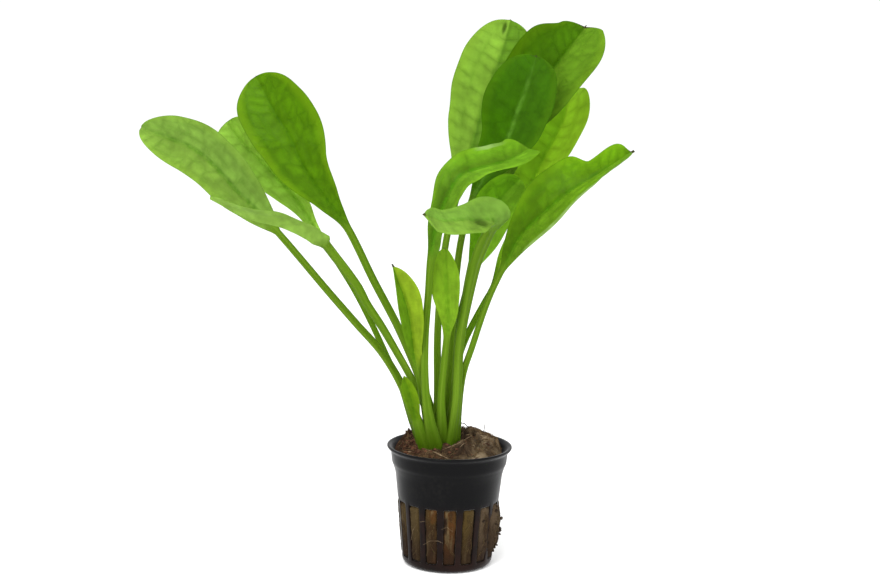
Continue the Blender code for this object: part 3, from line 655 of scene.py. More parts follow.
def smooth(x):
    x = np.clip(x, 0.0, 1.0)
    return x * x * (3 - 2 * x)


def unit(v):
    return v / np.linalg.norm(v, axis=-1, keepdims=True)


# Leaves

CURVE_STEPS = 60             # points from one route point to the next
SPANS = 32                   # faces across one side of a blade
RING_GAP = 3.2               # from ring to ring along a stalk
RINGS_PER_MM = 1.05          # along a blade, where they draw closer towards the tip
SHORT_OF_TIP = 0.12
SPIKE_AT = (0.25, 0.6, 0.95)    # rings of the dark point, as shares of its length
SPIKE_HALF = 0.38
NARROWEST = 0.35
BLADE_SKIN = 0.28
VEIN_HALF = 0.085            # how wide a long vein is sunk, as a share of the half width
GROOVE_HALF = 0.85           # mm, how wide the midrib is
VEIN_DEPTH, CELL_DEPTH, GROOVE_DEPTH = 0.15, 0.13, 0.30
STALK_DEPTH = 0.85           # depth of a stalk, as a share of its width
MAX_STALK_DEPTH = 3.6
FOOT_SPREAD = 4.0            # how much wider a stalk is where it clasps its neighbours
FOOT_HEIGHT = 21.0


def curve_through(points):
    """Smooth curve through the route points, with its length along the way."""
    p = np.asarray(points, float)
    p = np.vstack([2 * p[0] - p[1], p, 2 * p[-1] - p[-2]])
    spans = []
    for i in range(len(p) - 3):
        a, b, c, d = p[i:i + 4]
        ab, bc, cd = (np.linalg.norm(q) ** 0.5 for q in (b - a, c - b, d - c))
        m1 = (c - b) + bc * ((b - a) / ab - (c - a) / (ab + bc))
        m2 = (c - b) + bc * ((d - c) / cd - (d - b) / (bc + cd))
        t = np.linspace(0, 1, CURVE_STEPS, endpoint=(i == len(p) - 4))[:, None]
        spans.append((2 * t**3 - 3 * t**2 + 1) * b + (t**3 - 2 * t**2 + t) * m1
                     + (3 * t**2 - 2 * t**3) * c + (t**3 - t**2) * m2)
    curve = np.vstack(spans)
    along = np.concatenate([[0], np.cumsum(np.linalg.norm(np.diff(curve, axis=0), axis=1))])
    return curve, along


def ring_places(start, blade, last, point):
    """How far along the leaf each ring is, and how far past the tip, in the dark point."""
    on_stalk = np.linspace(0, start, max(8, int(start / RING_GAP)), endpoint=False)
    on_blade = start + blade * (1 - (1 - np.linspace(0, 1, int(blade * RINGS_PER_MM))) ** 1.5)
    at = np.minimum(np.concatenate([on_stalk, on_blade]), last)
    spike = np.array(SPIKE_AT) * point if point else np.zeros(0)
    beyond = np.concatenate([np.zeros(len(at)), spike])
    return np.concatenate([at, np.full(len(spike), last)]), beyond


def ring_frames(curve, way, at, beyond, t, turn):
    """Each ring's centre, and its directions ahead, sidewards and up."""
    def where(s):
        return np.stack([np.interp(s, way, curve[:, k]) for k in range(3)], -1)

    ahead = unit(where(np.minimum(at + 0.5, way[-1])) - where(np.maximum(at - 0.5, 0)))
    centre = where(at) + ahead * beyond[:, None]
    front = np.zeros_like(centre) + np.array([0.0, -1.0, 0.0])
    front = unit(front - (front * ahead).sum(1, keepdims=True) * ahead)
    angle = np.radians(turn[0] + (turn[1] - turn[0]) * smooth(t))[:, None]
    up = unit(front * np.cos(angle) + np.cross(ahead, front) * np.sin(angle))
    return centre, ahead, np.cross(ahead, up), up


def stalk_halves(at, start, stalk, flare):
    """Half the stalk's width at each ring."""
    stem = stalk[0] + (stalk[1] - stalk[0]) * np.clip(at / start, 0, 1) ** flare
    return (stem + FOOT_SPREAD * np.exp(-(at / FOOT_HEIGHT) ** 2)) / 2


def leaf_halves(t, beyond, stem, width, swell, blunt, point):
    """Half the leaf's width at each ring, over the stalk, the blade and the dark point."""
    peak = swell / (swell + blunt)
    outline = np.maximum(t, 1e-9) ** swell * (1 - t) ** blunt
    outline /= peak ** swell * (1 - peak) ** blunt
    half = np.where(t > 0, np.hypot(width / 2 * outline, stem * (1 - t)), stem)
    half = np.maximum(half, NARROWEST)
    return np.where(beyond > 0, SPIKE_HALF - 0.26 * beyond / max(point, 0.1), half)[:, None]


def ring_points():
    """A ring's points: where each is across the leaf, and 1 or -1 for the upper or lower face."""
    even = np.concatenate([1 - 2 * np.arange(SPANS + 1) / SPANS, -1 + 2 * np.arange(1, SPANS) / SPANS])
    across = (even - 0.09 * np.sin(math.tau * even))[None]
    return across, np.concatenate([np.ones(SPANS + 1), -np.ones(SPANS - 1)])[None]


def on_half(side, which):
    return side == (1 if which == "right" else -1)


def trimmed(half, share, side, trims):
    """Makes a half wider or narrower near each spot."""
    for which, spot, before, after, reach in trims:
        fading = np.exp(-((share - spot) / np.where(share < spot, before, after)) ** 2)
        half = np.maximum(half + reach * on_half(side, which) * fading, np.minimum(half, NARROWEST))
    return half


def folded_up(half, out, side, opened, fold, curl):
    """How far sideways and up each point is, with the halves folded up and curled over."""
    rise = math.radians(fold) * opened
    bend = math.radians(curl) * opened
    bend = np.where(np.abs(bend) < 1e-4, 1e-4, bend)
    sideways = half / bend * (np.sin(rise + bend * out) - np.sin(rise)) * side
    return sideways, half / bend * (np.cos(rise) - np.cos(rise + bend * out))


def quilted(off, out, run, tapering, opened):
    """How far the blade sinks at its veins and midrib, and swells between them."""
    veins = sum(np.exp(-((out - vein) / VEIN_HALF) ** 2) for vein in VEINS_AT)
    beat = run / CROSS_VEIN_GAP - 0.05 * np.abs(off) + 0.22 * np.floor(out * 2) + 0.8
    quilt = np.cos(math.tau * beat) * np.sin(math.pi * np.clip(out * 3 % 1, 0, 1)) * (out < 0.96)
    sheet = (-VEIN_DEPTH * veins - CELL_DEPTH * quilt) * tapering * opened
    return sheet - GROOVE_DEPTH * np.exp(-(off / GROOVE_HALF) ** 2) * tapering * opened


def thickened(across, top, off, stem, deep, stalky, sheet):
    """Height of each face over the middle sheet: the round stalk's part and the thin blade's."""
    out = np.abs(across)
    lift = top * np.sqrt(np.maximum(1 - out ** 2, 0))
    lens = BLADE_SKIN * np.sqrt(np.maximum(1 - out ** 4, 0))
    rib = np.exp(-(off / np.maximum(0.9 * stem, 0.6)) ** 2) * np.maximum(2 * deep - BLADE_SKIN, 0)
    flat = np.where(top > 0, lens, -lens - rib * (out < 0.999))
    channel = 1 - 0.22 * np.exp(-(across / 0.4) ** 2) * (top > 0)
    return stalky * deep * lift * channel, (1 - stalky) * (flat + sheet)


def leaf_sections(route, blade, width, turn, fold, curl, swell, blunt, stalk,
                  flare=0.6, point=0.0, wave=0.0, trims=(), lobe=None, hollow=None, phase=0.0):
    """Rings of points from the stalk's foot to the tip, and what each point carries."""
    curve, way = curve_through(route)
    start = way[-1] - blade
    at, beyond = ring_places(start, blade, way[-1] - SHORT_OF_TIP, point)
    t = np.clip((at - start) / blade, 0, 1)
    centre, ahead, sidewards, up = ring_frames(curve, way, at, beyond, t, turn)
    stem = stalk_halves(at, start, stalk, flare)
    thick = np.minimum(stem, MAX_STALK_DEPTH / 2 / STALK_DEPTH)
    deep = np.where(t > 0, thick * 0.8 * (1 - t) ** 1.5 + NARROWEST, thick * STALK_DEPTH)[:, None]
    half = leaf_halves(t, beyond, stem, width, swell, blunt, point)

    across, top = ring_points()
    out, side = np.abs(across), np.sign(across)
    up_blade = t[:, None]
    half = trimmed(half, ((at - start) / blade)[:, None], side, trims)
    opened = smooth(up_blade / 0.25)
    sideways, height = folded_up(half, out, side, opened, fold, curl)
    ripple = np.sin(math.tau * 2.6 * up_blade + phase + 1.9 * (side > 0))
    height = height + wave * half * out ** 2 * ripple * opened

    off = half * across
    run = (at - start)[:, None] + 0 * across
    sheet = quilted(off, out, run, (1 - up_blade) ** 0.4, opened)
    sunk = 0.0 * run
    if hollow:
        run_at, off_at, long, wide, depth = hollow
        sunk = np.exp(-((run - run_at) / long) ** 2 - ((off - off_at) / wide) ** 2) * (out < 0.98)
        sheet = sheet - depth * sunk
    of_stalk, of_blade = thickened(across, top, off, stem[:, None], deep, 1 - smooth(up_blade / 0.12), sheet)
    height = height + of_stalk + of_blade
    spot = centre[:, None] + sidewards[:, None] * sideways[..., None] + up[:, None] * height[..., None]
    if lobe:
        which, most = lobe
        reach = most * out * on_half(side, which) * smooth((up_blade - 0.6) / 0.4) * np.minimum(half / 8, 1)
        spot = spot + ahead[:, None] * reach[..., None]

    along = np.where(t > 0, t, (at - start) / blade)[:, None] + 0 * across
    along = along + 0.02 * beyond[:, None]
    lift = top * np.sqrt(np.maximum(1 - out ** 2, 0))
    around = np.stack([across * 1.8 + 0 * run, lift * 1.8 + 0 * run, run * 0.02], -1)
    carried = dict(across=across + 0 * run, off_midrib=off, run=run, along=along,
                   upper=(top > 0) * 1.0 + 0 * run, from_foot=at[:, None] + 0 * run, sunk=sunk)
    return spot, carried, around


def uneven(spot, carried, seed):
    """Lets a blade swell and dip a little, more towards its margins."""
    drift = Vector((7.3 * seed, 3.1 * seed, 1.7 * seed))
    amount = 0.75 * smooth(carried["along"] / 0.3) * np.abs(carried["across"]) ** 0.7
    for i, k in np.argwhere(amount > 0.02):
        where = Vector(spot[i, k])
        spot[i, k] += np.array(noise.noise_vector(where / 13.0 + drift)) * amount[i, k]


def grow_leaf(name, seed):
    """Draws the foot of the stalk on from ring to ring up to the tip."""
    spot, carried, around = leaf_sections(phase=seed * 2.4, **LEAVES[name])
    uneven(spot, carried, seed)
    bm = bmesh.new()
    layers = {key: bm.verts.layers.float.new(key) for key in carried}
    round_layer = bm.verts.layers.float_vector.new("around")

    def put(verts, i):
        for k, v in enumerate(verts):
            v.co = spot[i, k]
            v[round_layer] = around[i, k]
            for key, layer in layers.items():
                v[layer] = carried[key][i, k]

    bmesh.ops.create_circle(bm, cap_ends=True, segments=2 * SPANS, radius=1.0)
    face = bm.faces[:][0]
    ring = list(face.verts)
    put(ring, 0)
    for i in range(1, len(spot)):
        old = {v.co.to_tuple(6): k for k, v in enumerate(ring)}
        out = bmesh.ops.extrude_face_region(bm, geom=[face])
        if i > 1:
            bmesh.ops.delete(bm, geom=[face], context="FACES_ONLY")
        face = next(g for g in out["geom"] if isinstance(g, bmesh.types.BMFace))
        ring = sorted(face.verts, key=lambda v: old[v.co.to_tuple(6)])
        put(ring, i)
    greens = dict(LEAF_GREENS[name])
    slot = greens.pop("slot")
    if slot == "leaf_dark":
        greens["under"] = DEEP_UNDER
    piece(bm, name + "_grown", leaf_skin(name, **greens), name)


# Net pot

def wall_radius(z):
    return POT_FOOT_R + POT_TAPER * z + POT_FLARE * z * z


def turned(profile, steps, start_deg=0.0):
    """A closed body turned from points that start and end on the axis."""
    bm = bmesh.new()
    verts = [bm.verts.new((r, 0.0, z)) for r, z in profile]
    edges = [bm.edges.new(pair) for pair in zip(verts, verts[1:])]
    bmesh.ops.spin(bm, geom=verts + edges, cent=(0, 0, 0), axis=(0, 0, 1),
                   angle=math.tau, steps=steps, use_merge=True)
    bmesh.ops.remove_doubles(bm, verts=bm.verts, dist=0.0005)
    bmesh.ops.rotate(bm, verts=bm.verts, cent=(0, 0, 0),
                     matrix=Matrix.Rotation(math.radians(start_deg), 3, "Z"))
    return bm


def open_slot(bm, inside, outside):
    """Takes out the faces on both sides of a wall and joins the two edges into a rounded slot."""
    rims = []
    for faces in (inside, outside):
        rims.append([e for f in faces for e in f.edges if sum(g in faces for g in e.link_faces) == 1])
        bmesh.ops.delete(bm, geom=faces, context="FACES")
    edges = [e for rim in rims for e in rim if e.is_valid]
    bmesh.ops.bridge_loops(bm, edges=edges)


def pot_profile():
    """Radius and height of the pot's points, from the middle of its floor up, over the lip and down."""
    step, top, under = COLLAR_BASE_Z, POT_HEIGHT, POT_HEIGHT - LIP_THICK
    rows = [SLOT_LOW_Z + (SLOT_HIGH_Z - SLOT_LOW_Z) * i / 8 for i in range(9)]
    near, far = FLOOR_SLOT_REACH
    inside = [(0.0, POT_FLOOR), (near - 1.5, POT_FLOOR), (near, POT_FLOOR), ((near + far) / 2, POT_FLOOR),
              (far, POT_FLOOR), (15.0, POT_FLOOR + 0.1), (16.5, POT_FLOOR + 0.7),
              (wall_radius(3.1) - POT_WALL - 0.15, 3.1)]
    inside += [(wall_radius(z) - POT_WALL, z) for z in rows + [29.6, 33.0, 37.0, 40.4]]
    lip = [(wall_radius(step) - POT_WALL + 0.1, step + 0.1), (COLLAR_R - 1.6, step + 0.9),
           (COLLAR_R - 1.4, step + 2.0), (COLLAR_R - 1.1, top - 3.6), (COLLAR_R - 0.8, top - 1.8),
           (COLLAR_R - 0.1, top - 0.6), (COLLAR_R + 0.5, top - 0.15), (LIP_R - 0.6, top),
           (LIP_R - 0.15, top - 0.15), (LIP_R, top - 0.5), (LIP_R - 0.12, under),
           (LIP_R - 0.5, under - 0.5), (COLLAR_R + 0.55, under - 1.0), (COLLAR_R + 0.12, under - 1.6),
           (COLLAR_R, under - 2.6), (COLLAR_R - 0.25, step + 1.8), (COLLAR_R - 0.4, step + 0.7),
           (COLLAR_R - 0.72, step), (COLLAR_R - 1.1, step - 0.8), (COLLAR_R - 1.35, step - 1.8)]
    outside = [(wall_radius(z), z) for z in [39.0, 36.0, 33.0, 29.6] + rows[::-1]]
    outside += [(wall_radius(2.2) - 0.05, 2.2), (18.5, 1.3), (18.0, 0.7), (17.1, 0.35), (15.4, 0.1),
                (far, 0.0), ((near + far) / 2, 0.0), (near, 0.0), (near - 1.5, 0.0), (0.0, 0.0)]
    return inside + lip + outside


def slot_faces(bm):
    """The faces of each slot in the wall and the floor: those of the inside and of the outside."""
    near, far = FLOOR_SLOT_REACH
    floor_pitch = 360 / FLOOR_SLOTS
    floor_open = FLOOR_SLOT_COLUMNS * SLOT_PITCH / COLUMNS_PER_SLOT
    slots = {}
    for f in bm.faces:
        middle = f.calc_center_median()
        r, z = middle.xy.length, middle.z
        deg = (math.degrees(math.atan2(middle.y, middle.x)) + 90 - FIRST_SLOT_DEG) % 360
        number = round(deg / SLOT_PITCH) % SLOTS
        off = abs((deg + 180 - number * SLOT_PITCH) % 360 - 180)
        if SLOT_LOW_Z < z < SLOT_HIGH_Z and off < SLOT_OPEN / 2:
            slots.setdefault(("wall", number), ([], []))[r > wall_radius(z) - POT_WALL / 2].append(f)
        elif near < r < far and z < 2:
            number = math.floor(deg / floor_pitch)
            if abs(deg - (number + 0.5) * floor_pitch) < floor_open / 2:
                slots.setdefault(("floor", number), ([], []))[z < POT_FLOOR / 2].append(f)
    return slots.values()


def net_pot():
    """Tapered cup with a stepped collar and a rolled lip, open in slots round the lower half."""
    bm = turned(pot_profile(), SLOTS * COLUMNS_PER_SLOT, FIRST_SLOT_DEG - 90)
    for both in slot_faces(bm):
        open_slot(bm, *both)
    pot = piece(bm, "net_pot_moulded", moulded_plastic(), "net_pot", sharp=80)
    soften = pot.modifiers.new("soften", "SUBSURF")
    soften.levels = soften.render_levels = 1


# Growing wool

WOOL_COLUMNS = 240
SIDE_STEP = 0.75             # mm from row to row up the side
TOP_STEP = 0.55              # mm from row to row over the top
CLOD = 6.6                   # mm across one clod of the mound
SLOT_FLUSH = 1.42            # how far the wool swells in a slot to be flush with the wall
TOP_FIBRES, SLOT_FIBRES = 1000, 340
TOP_CRUMBS, SLOT_CRUMBS = 420, 46
CROWN_CLEAR = 8.5            # mm round the crown that no fibre starts in
FIBRE_STEP = 0.9             # mm from point to point of a fibre
WALL_R = 20.0                # the slotted wall, about, for turning mm into degrees
DEG_PER_RADIAN = 57.3


def lump_height(x, y):
    rise = 0.0
    for cx, cy, wide, deep, height in LUMPS:
        d = min(1.0, math.hypot((x - cx) / wide, (y - cy) / deep))
        rise = max(rise, height * (1 - d * d) ** 0.9)
    return rise


def rough(x, y, z, size, depth):
    return noise.fractal(Vector((x, y, z)) / size, 0.9, 2.1, 5) * depth


def wool_reach(x, y):
    """Radius of the wool's top edge in the direction of a point."""
    deg = math.degrees(math.atan2(y, x))
    return WOOL_EDGE_R + sum(more * math.exp(-(((deg - at + 180) % 360 - 180) / spread) ** 2)
                             for at, spread, more in WOOL_REACHES)


def torn(x, y):
    """Tilted clods with creases between them: the height of a clod, and how deep in a crease it is."""
    place = Vector((x + 0.3 * y, y - 0.4 * x, 2.0)) / CLOD
    place += 0.22 * noise.noise_vector(place * 2.3)
    gaps, centres = noise.voronoi(place)
    tilt = noise.noise_vector(centres[0] * 7.3)
    crease_and_shade = math.exp(-((gaps[1] - gaps[0]) / 0.11) ** 2)
    return 3.2 * tilt.dot(place - centres[0]) + 0.9 * tilt.z, crease_and_shade


def wool_shade(x, y):
    """Below 0 where the top is in a dark hollow, above 0 where a fold of it catches the light."""
    return sum(shade * math.exp(-((x - cx) / wide) ** 2 - ((y - cy) / deep) ** 2)
               for cx, cy, wide, deep, shade in WOOL_SHADES)


def wool_top(x, y):
    """Height of the wool's top: crumbs at rim level, a hump round the stalks, a folded mound on the right."""
    lump = lump_height(x, y)
    edge = min(1.0, max(0.0, (wool_reach(x, y) - math.hypot(x, y)) / 2.2))
    z = WOOL_TOP_Z - 1.0 * (1 - edge) + lump * min(1.0, edge * 1.25)
    clod, crease_and_shade = torn(x, y)
    z += (clod - 1.2 * crease_and_shade + 0.8 * min(0.0, wool_shade(x, y))) * min(1.0, 0.30 + lump / 3.5) * edge
    return z + (rough(x, y, 0, 2.6, 0.42) + rough(x, y, 9, 6.0, 0.6)) * (0.35 + 0.65 * edge)


def slot_swell(deg, z):
    """How far the wool swells out at an angle and height: only inside the slots."""
    off = abs((deg + 90 - FIRST_SLOT_DEG + SLOT_PITCH / 2) % SLOT_PITCH - SLOT_PITCH / 2)
    creep = 1.5 * noise.noise(Vector((deg / 5.0, z / 3.2, 4.0)))
    in_slot = smooth((SLOT_OPEN / 2 + 0.8 + creep - off) / 2.9)
    in_slot *= smooth((z - SLOT_LOW_Z + 0.5) / 1.4) * smooth((SLOT_HIGH_Z + 0.5 + 0.5 * creep - z) / 1.4)
    right = math.exp(-((deg + 16) / 26) ** 2)
    flap = smooth(1.7 - abs(deg + 15) / 15) * smooth((z - 6.5) / 3) * smooth((26 - z) / 4)
    flap *= smooth(1.6 + 2.4 * noise.noise(Vector((deg / 6.0, z / 4.5, 8.0))))
    covered = max(in_slot, flap)
    right *= smooth((z - 5.5) / 5) * smooth((27.5 - z) / 8)
    return covered, covered * (SLOT_FLUSH + 1.9 * right)


def wool_side(z):
    return wall_radius(z) - POT_WALL - WOOL_GAP


def growing_wool():
    """The wool as it fills the pot, swollen out of the slots and torn up at the top."""
    profile = [(0.0, 1.6), (6.0, 1.6), (12.0, 1.6), (14.4, 1.65), (16.2, 2.4)]
    profile += [(min(wool_side(z), WOOL_SIDE_R), z) for z in np.arange(3.2, 43.0, SIDE_STEP)]
    profile += [(WOOL_SIDE_R, 44.6), (WOOL_SIDE_R - 0.1, 45.6)]
    profile += [(r, WOOL_TOP_Z) for r in np.arange(WOOL_TOP_R, 0.4, -TOP_STEP)]
    profile += [(0.0, WOOL_TOP_Z)]
    bm = turned(profile, WOOL_COLUMNS)
    crease_shades = bm.verts.layers.float.new("crease_and_shade")
    shades = bm.verts.layers.float.new("shade")
    for v in bm.verts:
        x, y, z = v.co
        r = math.hypot(x, y)
        if z > WOOL_TOP_Z - 0.01:
            x, y = Vector((x, y)) * (1 + (wool_reach(x, y) / 21.8 - 1) * (r / WOOL_TOP_R) ** 3)
            v.co = x, y, wool_top(x, y)
            # Painted light and shade of the top: lighter folds, darker hollows and creases
            v[shades] = wool_shade(x, y)
            v[crease_shades] = torn(x, y)[1] * min(1.0, 0.4 + lump_height(x, y) / 4.0)
            v.co.x += rough(x, y, 20, 3.0, 0.25)
            v.co.y += rough(x, y, 40, 3.0, 0.25)
        elif z > 2.0 and r > 5:
            deg = math.degrees(math.atan2(y, x))
            in_slot, swell = slot_swell(deg, z)
            grow = swell + in_slot * rough(x, y, z, 2.6, 0.22) - (1 - in_slot) * 0.1
            v.co.xy *= (r + grow) / r
            # Painted shade where the wool sinks back behind the slots' edges
            v[crease_shades] = 0.8 * (1 - smooth(swell / SLOT_FLUSH))
    piece(bm, "growing_wool_felted", wool_felt(), "growing_wool", sharp=180)


def strands(name, routes, radius, material):
    """Thin strands along routes of points, thicker in the middle, as one mesh."""
    data = bpy.data.curves.new(name + "_line", "CURVE")
    data.dimensions = "3D"
    data.bevel_depth = radius * MM
    data.bevel_resolution = 0
    data.use_fill_caps = True
    for points, thickness in routes:
        spline = data.splines.new("POLY")
        spline.points.add(len(points) - 1)
        for i, (p, co) in enumerate(zip(spline.points, points)):
            p.co = (*(Vector(co) * MM), 1.0)
            p.radius = thickness * (0.45 + 0.55 * math.sin(math.pi * (i + 0.6) / len(points)))
    line = placed(name + "_line", data)
    bpy.context.view_layer.update()
    drawn = line.evaluated_get(bpy.context.evaluated_depsgraph_get())
    mesh = bpy.data.meshes.new_from_object(drawn)
    bpy.data.objects.remove(line, do_unlink=True)
    mesh.name = name
    riding(name, mesh, material)


def on_wall(r, deg, z):
    """The point at a radius, a turn about the pot's axis and a height."""
    turn = math.radians(deg)
    return r * math.cos(turn), r * math.sin(turn), z


def top_fibres(count, rng):
    """Fibres that wander over the top of the wool, now and then lifting off it."""
    routes = []
    while len(routes) < count:
        x, y = rng.uniform(-21.5, 21.5), rng.uniform(-21.5, 21.5)
        if math.hypot(x, y) > 21.3 or math.hypot(x - CROWN_AT[0], y - CROWN_AT[1]) < CROWN_CLEAR:
            continue
        # Fewer fibres in the patches of painted shade, so that they stay dark
        if rng.random() < -1.2 * wool_shade(x, y):
            continue
        heading, lift = rng.uniform(0, math.tau), rng.uniform(0.0, 0.25)
        bow = rng.uniform(-0.5, 0.5)
        points = []
        for _ in range(rng.randint(5, 9)):
            if math.hypot(x, y) < 22.0:
                points.append((x, y, wool_top(x, y) + 0.05 + lift))
            heading += bow + rng.uniform(-0.45, 0.45)
            lift = max(-0.15, lift + rng.uniform(-0.25, 0.28))
            x, y = x + FIBRE_STEP * math.cos(heading), y + FIBRE_STEP * math.sin(heading)
        if len(points) > 3:
            routes.append((points, rng.uniform(0.5, 1.3)))
    return routes


def slot_fibres(count, rng):
    """Fibres on the wool that shows in the slots, mostly upright, a few crossing."""
    routes = []
    while len(routes) < count:
        number = rng.randrange(SLOTS)
        deg = -90 + FIRST_SLOT_DEG + number * SLOT_PITCH + rng.uniform(-6.0, 6.0)
        z = SLOT_LOW_Z + 0.8 + (SLOT_HIGH_Z - SLOT_LOW_Z - 1.8) * rng.random() ** 0.62
        heading = rng.choice((90, 270)) + rng.gauss(0, 38)
        points = []
        for _ in range(rng.randint(5, 9)):
            in_slot, swell = slot_swell(deg, z)
            if in_slot <= 0.7 or not SLOT_LOW_Z < z < SLOT_HIGH_Z:
                break
            points.append(on_wall(wool_side(z) + swell + rng.uniform(-0.05, 0.22), deg, z))
            heading += rng.uniform(-28, 28)
            deg += FIBRE_STEP * math.cos(math.radians(heading)) / WALL_R * DEG_PER_RADIAN
            z += FIBRE_STEP * math.sin(math.radians(heading))
        if len(points) > 3:
            routes.append((points, rng.uniform(0.5, 1.3)))
    return routes


def crumbs(name, spots, material, rng):
    """Small torn lumps, each a squashed and dented ball."""
    bm = bmesh.new()
    for where, size in spots:
        ball = bmesh.ops.create_icosphere(bm, subdivisions=1, radius=1.0)["verts"]
        squash = Vector((rng.uniform(0.5, 1.4), rng.uniform(0.6, 1.3), rng.uniform(0.45, 1.1)))
        spin, tip = rng.uniform(0, math.tau), rng.uniform(-0.8, 0.8)
        turn = Matrix.Rotation(spin, 3, "Z") @ Matrix.Rotation(tip, 3, "X")
        for v in ball:
            dent = 1 + 0.38 * noise.noise(v.co * 1.6 + Vector(where))
            v.co = turn @ Vector([c * s for c, s in zip(v.co * dent, squash)]) * size + Vector(where)
    piece(bm, name, material, sharp=180)


def top_crumb_spots(count, rng):
    """Crumbs on the top, most of them on the left, and smaller on the mound."""
    spots = []
    while len(spots) < count:
        x, y = rng.gauss(-13, 7.5), rng.gauss(0, 9.5)
        if rng.random() < 0.25:
            x, y = rng.uniform(-21, 21), rng.uniform(-21, 21)
        if math.hypot(x, y) > 21.0:
            continue
        size = rng.uniform(0.25, 0.95) * (0.6 if x > 4 else 1.0)
        spots.append(((x, y, wool_top(x, y) + size * 0.15), size))
    return spots


# Flakes that stand out from the wool on the right: turn in degrees, height and size
SLOT_FLAKES = ((-8, 20.0, 0.7), (-13, 16.2, 0.7), (-12, 15.0, 1.0), (-12, 13.6, 0.8), (-18, 9.5, 0.8),
               (-14, 6.6, 1.1), (-30, 8.0, 0.6), (-40, 13.0, 0.6), (-34, 17.0, 0.6), (-16, 22.5, 0.4))


def slot_crumb_spots(count, rng):
    """Dark torn bits on the swollen wool, most on the right."""
    spots = [(on_wall(wool_side(z) + slot_swell(deg, z)[1] + 0.3, deg, z), size)
             for deg, z, size in SLOT_FLAKES]
    while len(spots) < count:
        mid = -90 + FIRST_SLOT_DEG + rng.randrange(SLOTS) * SLOT_PITCH
        deg = mid + rng.uniform(-5.5, 5.5)
        z = rng.uniform(SLOT_LOW_Z + 1.0, SLOT_HIGH_Z - 1.0)
        rightward = math.exp(-(((mid + 30 + 180) % 360 - 180) / 24) ** 2)
        if rng.random() > 0.03 + 0.97 * rightward:
            continue
        where = on_wall(wool_side(z) + slot_swell(deg, z)[1] + 0.05, deg, z)
        spots.append((where, rng.uniform(0.2, 0.4 + 0.6 * rightward)))
    return spots


# Roots and hairs: the pixels of the photograph that each one passes, and its thickness
ROOT_LINES = (
    (((424, 448.6), (431, 451.2), (437, 453.4), (443, 456.4), (449, 459)), 1.25),
    (((440.5, 450.6), (448, 447.6), (457, 444), (463, 440.6), (470, 436.6), (477, 432.8),
      (483, 430.4)), 0.62),
    (((460, 447), (464, 443.5), (470, 442)), 0.5),
    (((466, 435), (474, 433), (483, 434), (492, 438)), 0.5),
    (((398, 447), (404, 441), (412, 443)), 0.6),
    (((402, 451), (412, 452), (424, 456)), 0.55),
)
HAIR_LINES = (
    (((423, 545), (430, 541), (438, 541), (444, 544)), 1.0),
    (((411, 540), (413, 530), (418, 522)), 1.0),
    (((420, 522), (427, 521)), 0.8),
    (((441, 530), (447, 527), (455, 534)), 0.8),
)
SIGHT_FROM, SIGHT_TO, SIGHT_STEP = 735.0, 815.0, 0.2    # mm from the eye that a line of sight is tried
WOOL_REACH_R = 23.5          # further out, no line of sight meets the wool


def pixel_ray(u, v):
    """Direction in which the camera sees a pixel of the photograph."""
    across = Vector(CAMERA_RIGHT) * (u - PHOTO_SIZE[0] / 2)
    down = Vector(CAMERA_UP) * (v - PHOTO_SIZE[1] / 2)
    return (Vector(CAMERA_AHEAD) * FOCAL_PIXELS + across - down).normalized()


def laid_on(reached, line, lift):
    """Points where the lines of sight through the pixels first reach a surface, lifted towards the eye."""
    eye = Vector(CAMERA_AT)
    tried = np.arange(SIGHT_FROM, SIGHT_TO, SIGHT_STEP)
    points = []
    for (u, v), (u2, v2) in zip(line, line[1:]):
        for share in (0.0, 0.25, 0.5, 0.75):
            ray = pixel_ray(u + (u2 - u) * share, v + (v2 - v) * share)
            along = next((d for d in tried if reached(*(eye + ray * d))), None)
            if along:
                points.append(eye + ray * (along - lift))
    return points


def in_wool(x, y, z):
    return math.hypot(x, y) < WOOL_REACH_R and z < wool_top(x, y)


def in_pot_wall(x, y, z):
    return math.hypot(x, y) < wall_radius(z)


def roots_on_wool():
    """A stout root over the front of the wool, and thin ones up the mound and on the left."""
    return [(laid_on(in_wool, line, 0.45), thickness) for line, thickness in ROOT_LINES]


def hairs_on_ribs():
    """Pale hairs that cross from slot to slot."""
    return [(laid_on(in_pot_wall, line, 0.5), thickness) for line, thickness in HAIR_LINES]


def dark_roots():
    """Short dark ends that stick up behind the stalks and out of the mound."""
    return [([(4.4, 5.0, 56.0), (4.8, 5.0, 58.4), (6.2, 5.2, 58.0), (8.0, 5.4, 56.2)], 1.3),
            ([(14.2, 5.0, 54.5), (14.5, 4.8, 57.0), (14.3, 4.6, 58.2)], 1.0)]


# Studio

def camera():
    data = bpy.data.cameras.new("camera")
    data.sensor_width = SENSOR_WIDTH
    data.lens = SENSOR_WIDTH * FOCAL_PIXELS / PHOTO_SIZE[0]
    data.clip_end = 20.0
    obj = placed("camera", data)
    columns = (Vector(CAMERA_RIGHT), Vector(CAMERA_UP), -Vector(CAMERA_AHEAD), Vector(CAMERA_AT) * MM)
    obj.matrix_world = Matrix([[c[i] for c in columns] for i in range(3)] + [[0, 0, 0, 1]])
    bpy.context.scene.camera = obj


LIT_SPOT = (0.0, 0.0, 0.1)   # metres, where both lights point
SKY_STRENGTH = 1.06
FLOOR_RADIUS = 4.0
FLOOR_DROP = 0.0001


def soft_light(name, at, size, power):
    data = bpy.data.lights.new(name, "AREA")
    data.shape = "SQUARE"
    data.size = size
    data.energy = power
    obj = placed(name, data)
    obj.location = at
    obj.rotation_euler = (Vector(LIT_SPOT) - Vector(at)).to_track_quat("-Z", "Y").to_euler()


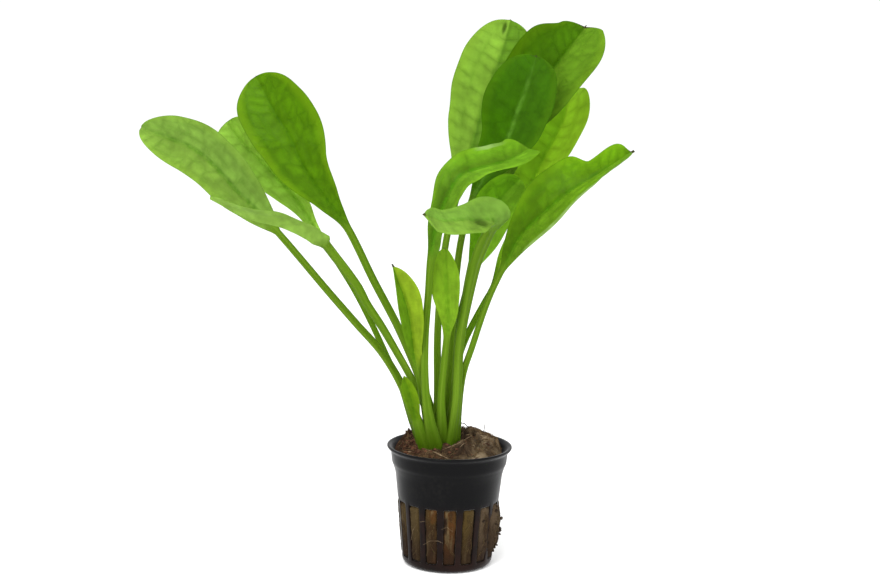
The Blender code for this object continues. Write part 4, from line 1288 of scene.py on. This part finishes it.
def studio():
    bm = bmesh.new()
    bmesh.ops.create_circle(bm, cap_ends=True, segments=64, radius=FLOOR_RADIUS)
    mesh = bpy.data.meshes.new("floor")
    bm.to_mesh(mesh)
    bm.free()
    mesh.transform(Matrix.Translation((0, 0, -FLOOR_DROP)))
    mesh.materials.append(pale_floor())
    placed("floor", mesh)
    world = bpy.data.worlds.new("studio")
    world.use_nodes = True
    backdrop = world.node_tree.nodes["Background"]
    backdrop.inputs["Color"].default_value = (1.0, 1.0, 1.0, 1.0)
    backdrop.inputs["Strength"].default_value = SKY_STRENGTH
    bpy.context.scene.world = world
    bpy.context.scene.view_settings.view_transform = "Standard"
    soft_light("key", (-0.45, -1.15, 1.05), 0.9, 26.0)
    soft_light("fill", (0.85, -0.95, 0.55), 0.9, 9.0)


def build():
    noise.seed_set(NOISE_SEED)
    camera()
    studio()
    for seed, name in enumerate(LEAVES):
        grow_leaf(name, seed)
    net_pot()
    growing_wool()
    rng = random.Random(DRAW_SEED)
    tan = strand_finish("tan_fibre", (0.038, 0.021, 0.010), (0.125, 0.082, 0.040))
    rust = strand_finish("rust_crumb", (0.030, 0.012, 0.007), (0.095, 0.042, 0.022))
    dark = strand_finish("dark_bits", (0.010, 0.006, 0.004), (0.036, 0.022, 0.013))
    strands("wool_fibres_top", top_fibres(TOP_FIBRES, rng), 0.080, tan)
    matted = strand_finish("matted_fibre", (0.034, 0.021, 0.009), (0.080, 0.054, 0.023))
    strands("wool_fibres_slots", slot_fibres(SLOT_FIBRES, rng), 0.058, matted)
    crumbs("wool_crumbs_top", top_crumb_spots(TOP_CRUMBS, rng), rust, rng)
    crumbs("wool_crumbs_slots", slot_crumb_spots(SLOT_CRUMBS, rng), dark, rng)
    root = strand_finish("pale_root", (0.090, 0.058, 0.032), (0.230, 0.170, 0.105))
    strands("roots_on_wool", roots_on_wool(), 0.26, root)
    strands("root_hairs_on_ribs", hairs_on_ribs(), 0.07, root)
    strands("dark_roots", dark_roots(), 0.17, dark)
    crown_mat = strand_finish("crown_flesh", (0.20, 0.24, 0.09), (0.33, 0.36, 0.17))
    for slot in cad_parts["crown"].material_slots:
        slot.material = crown_mat


build()
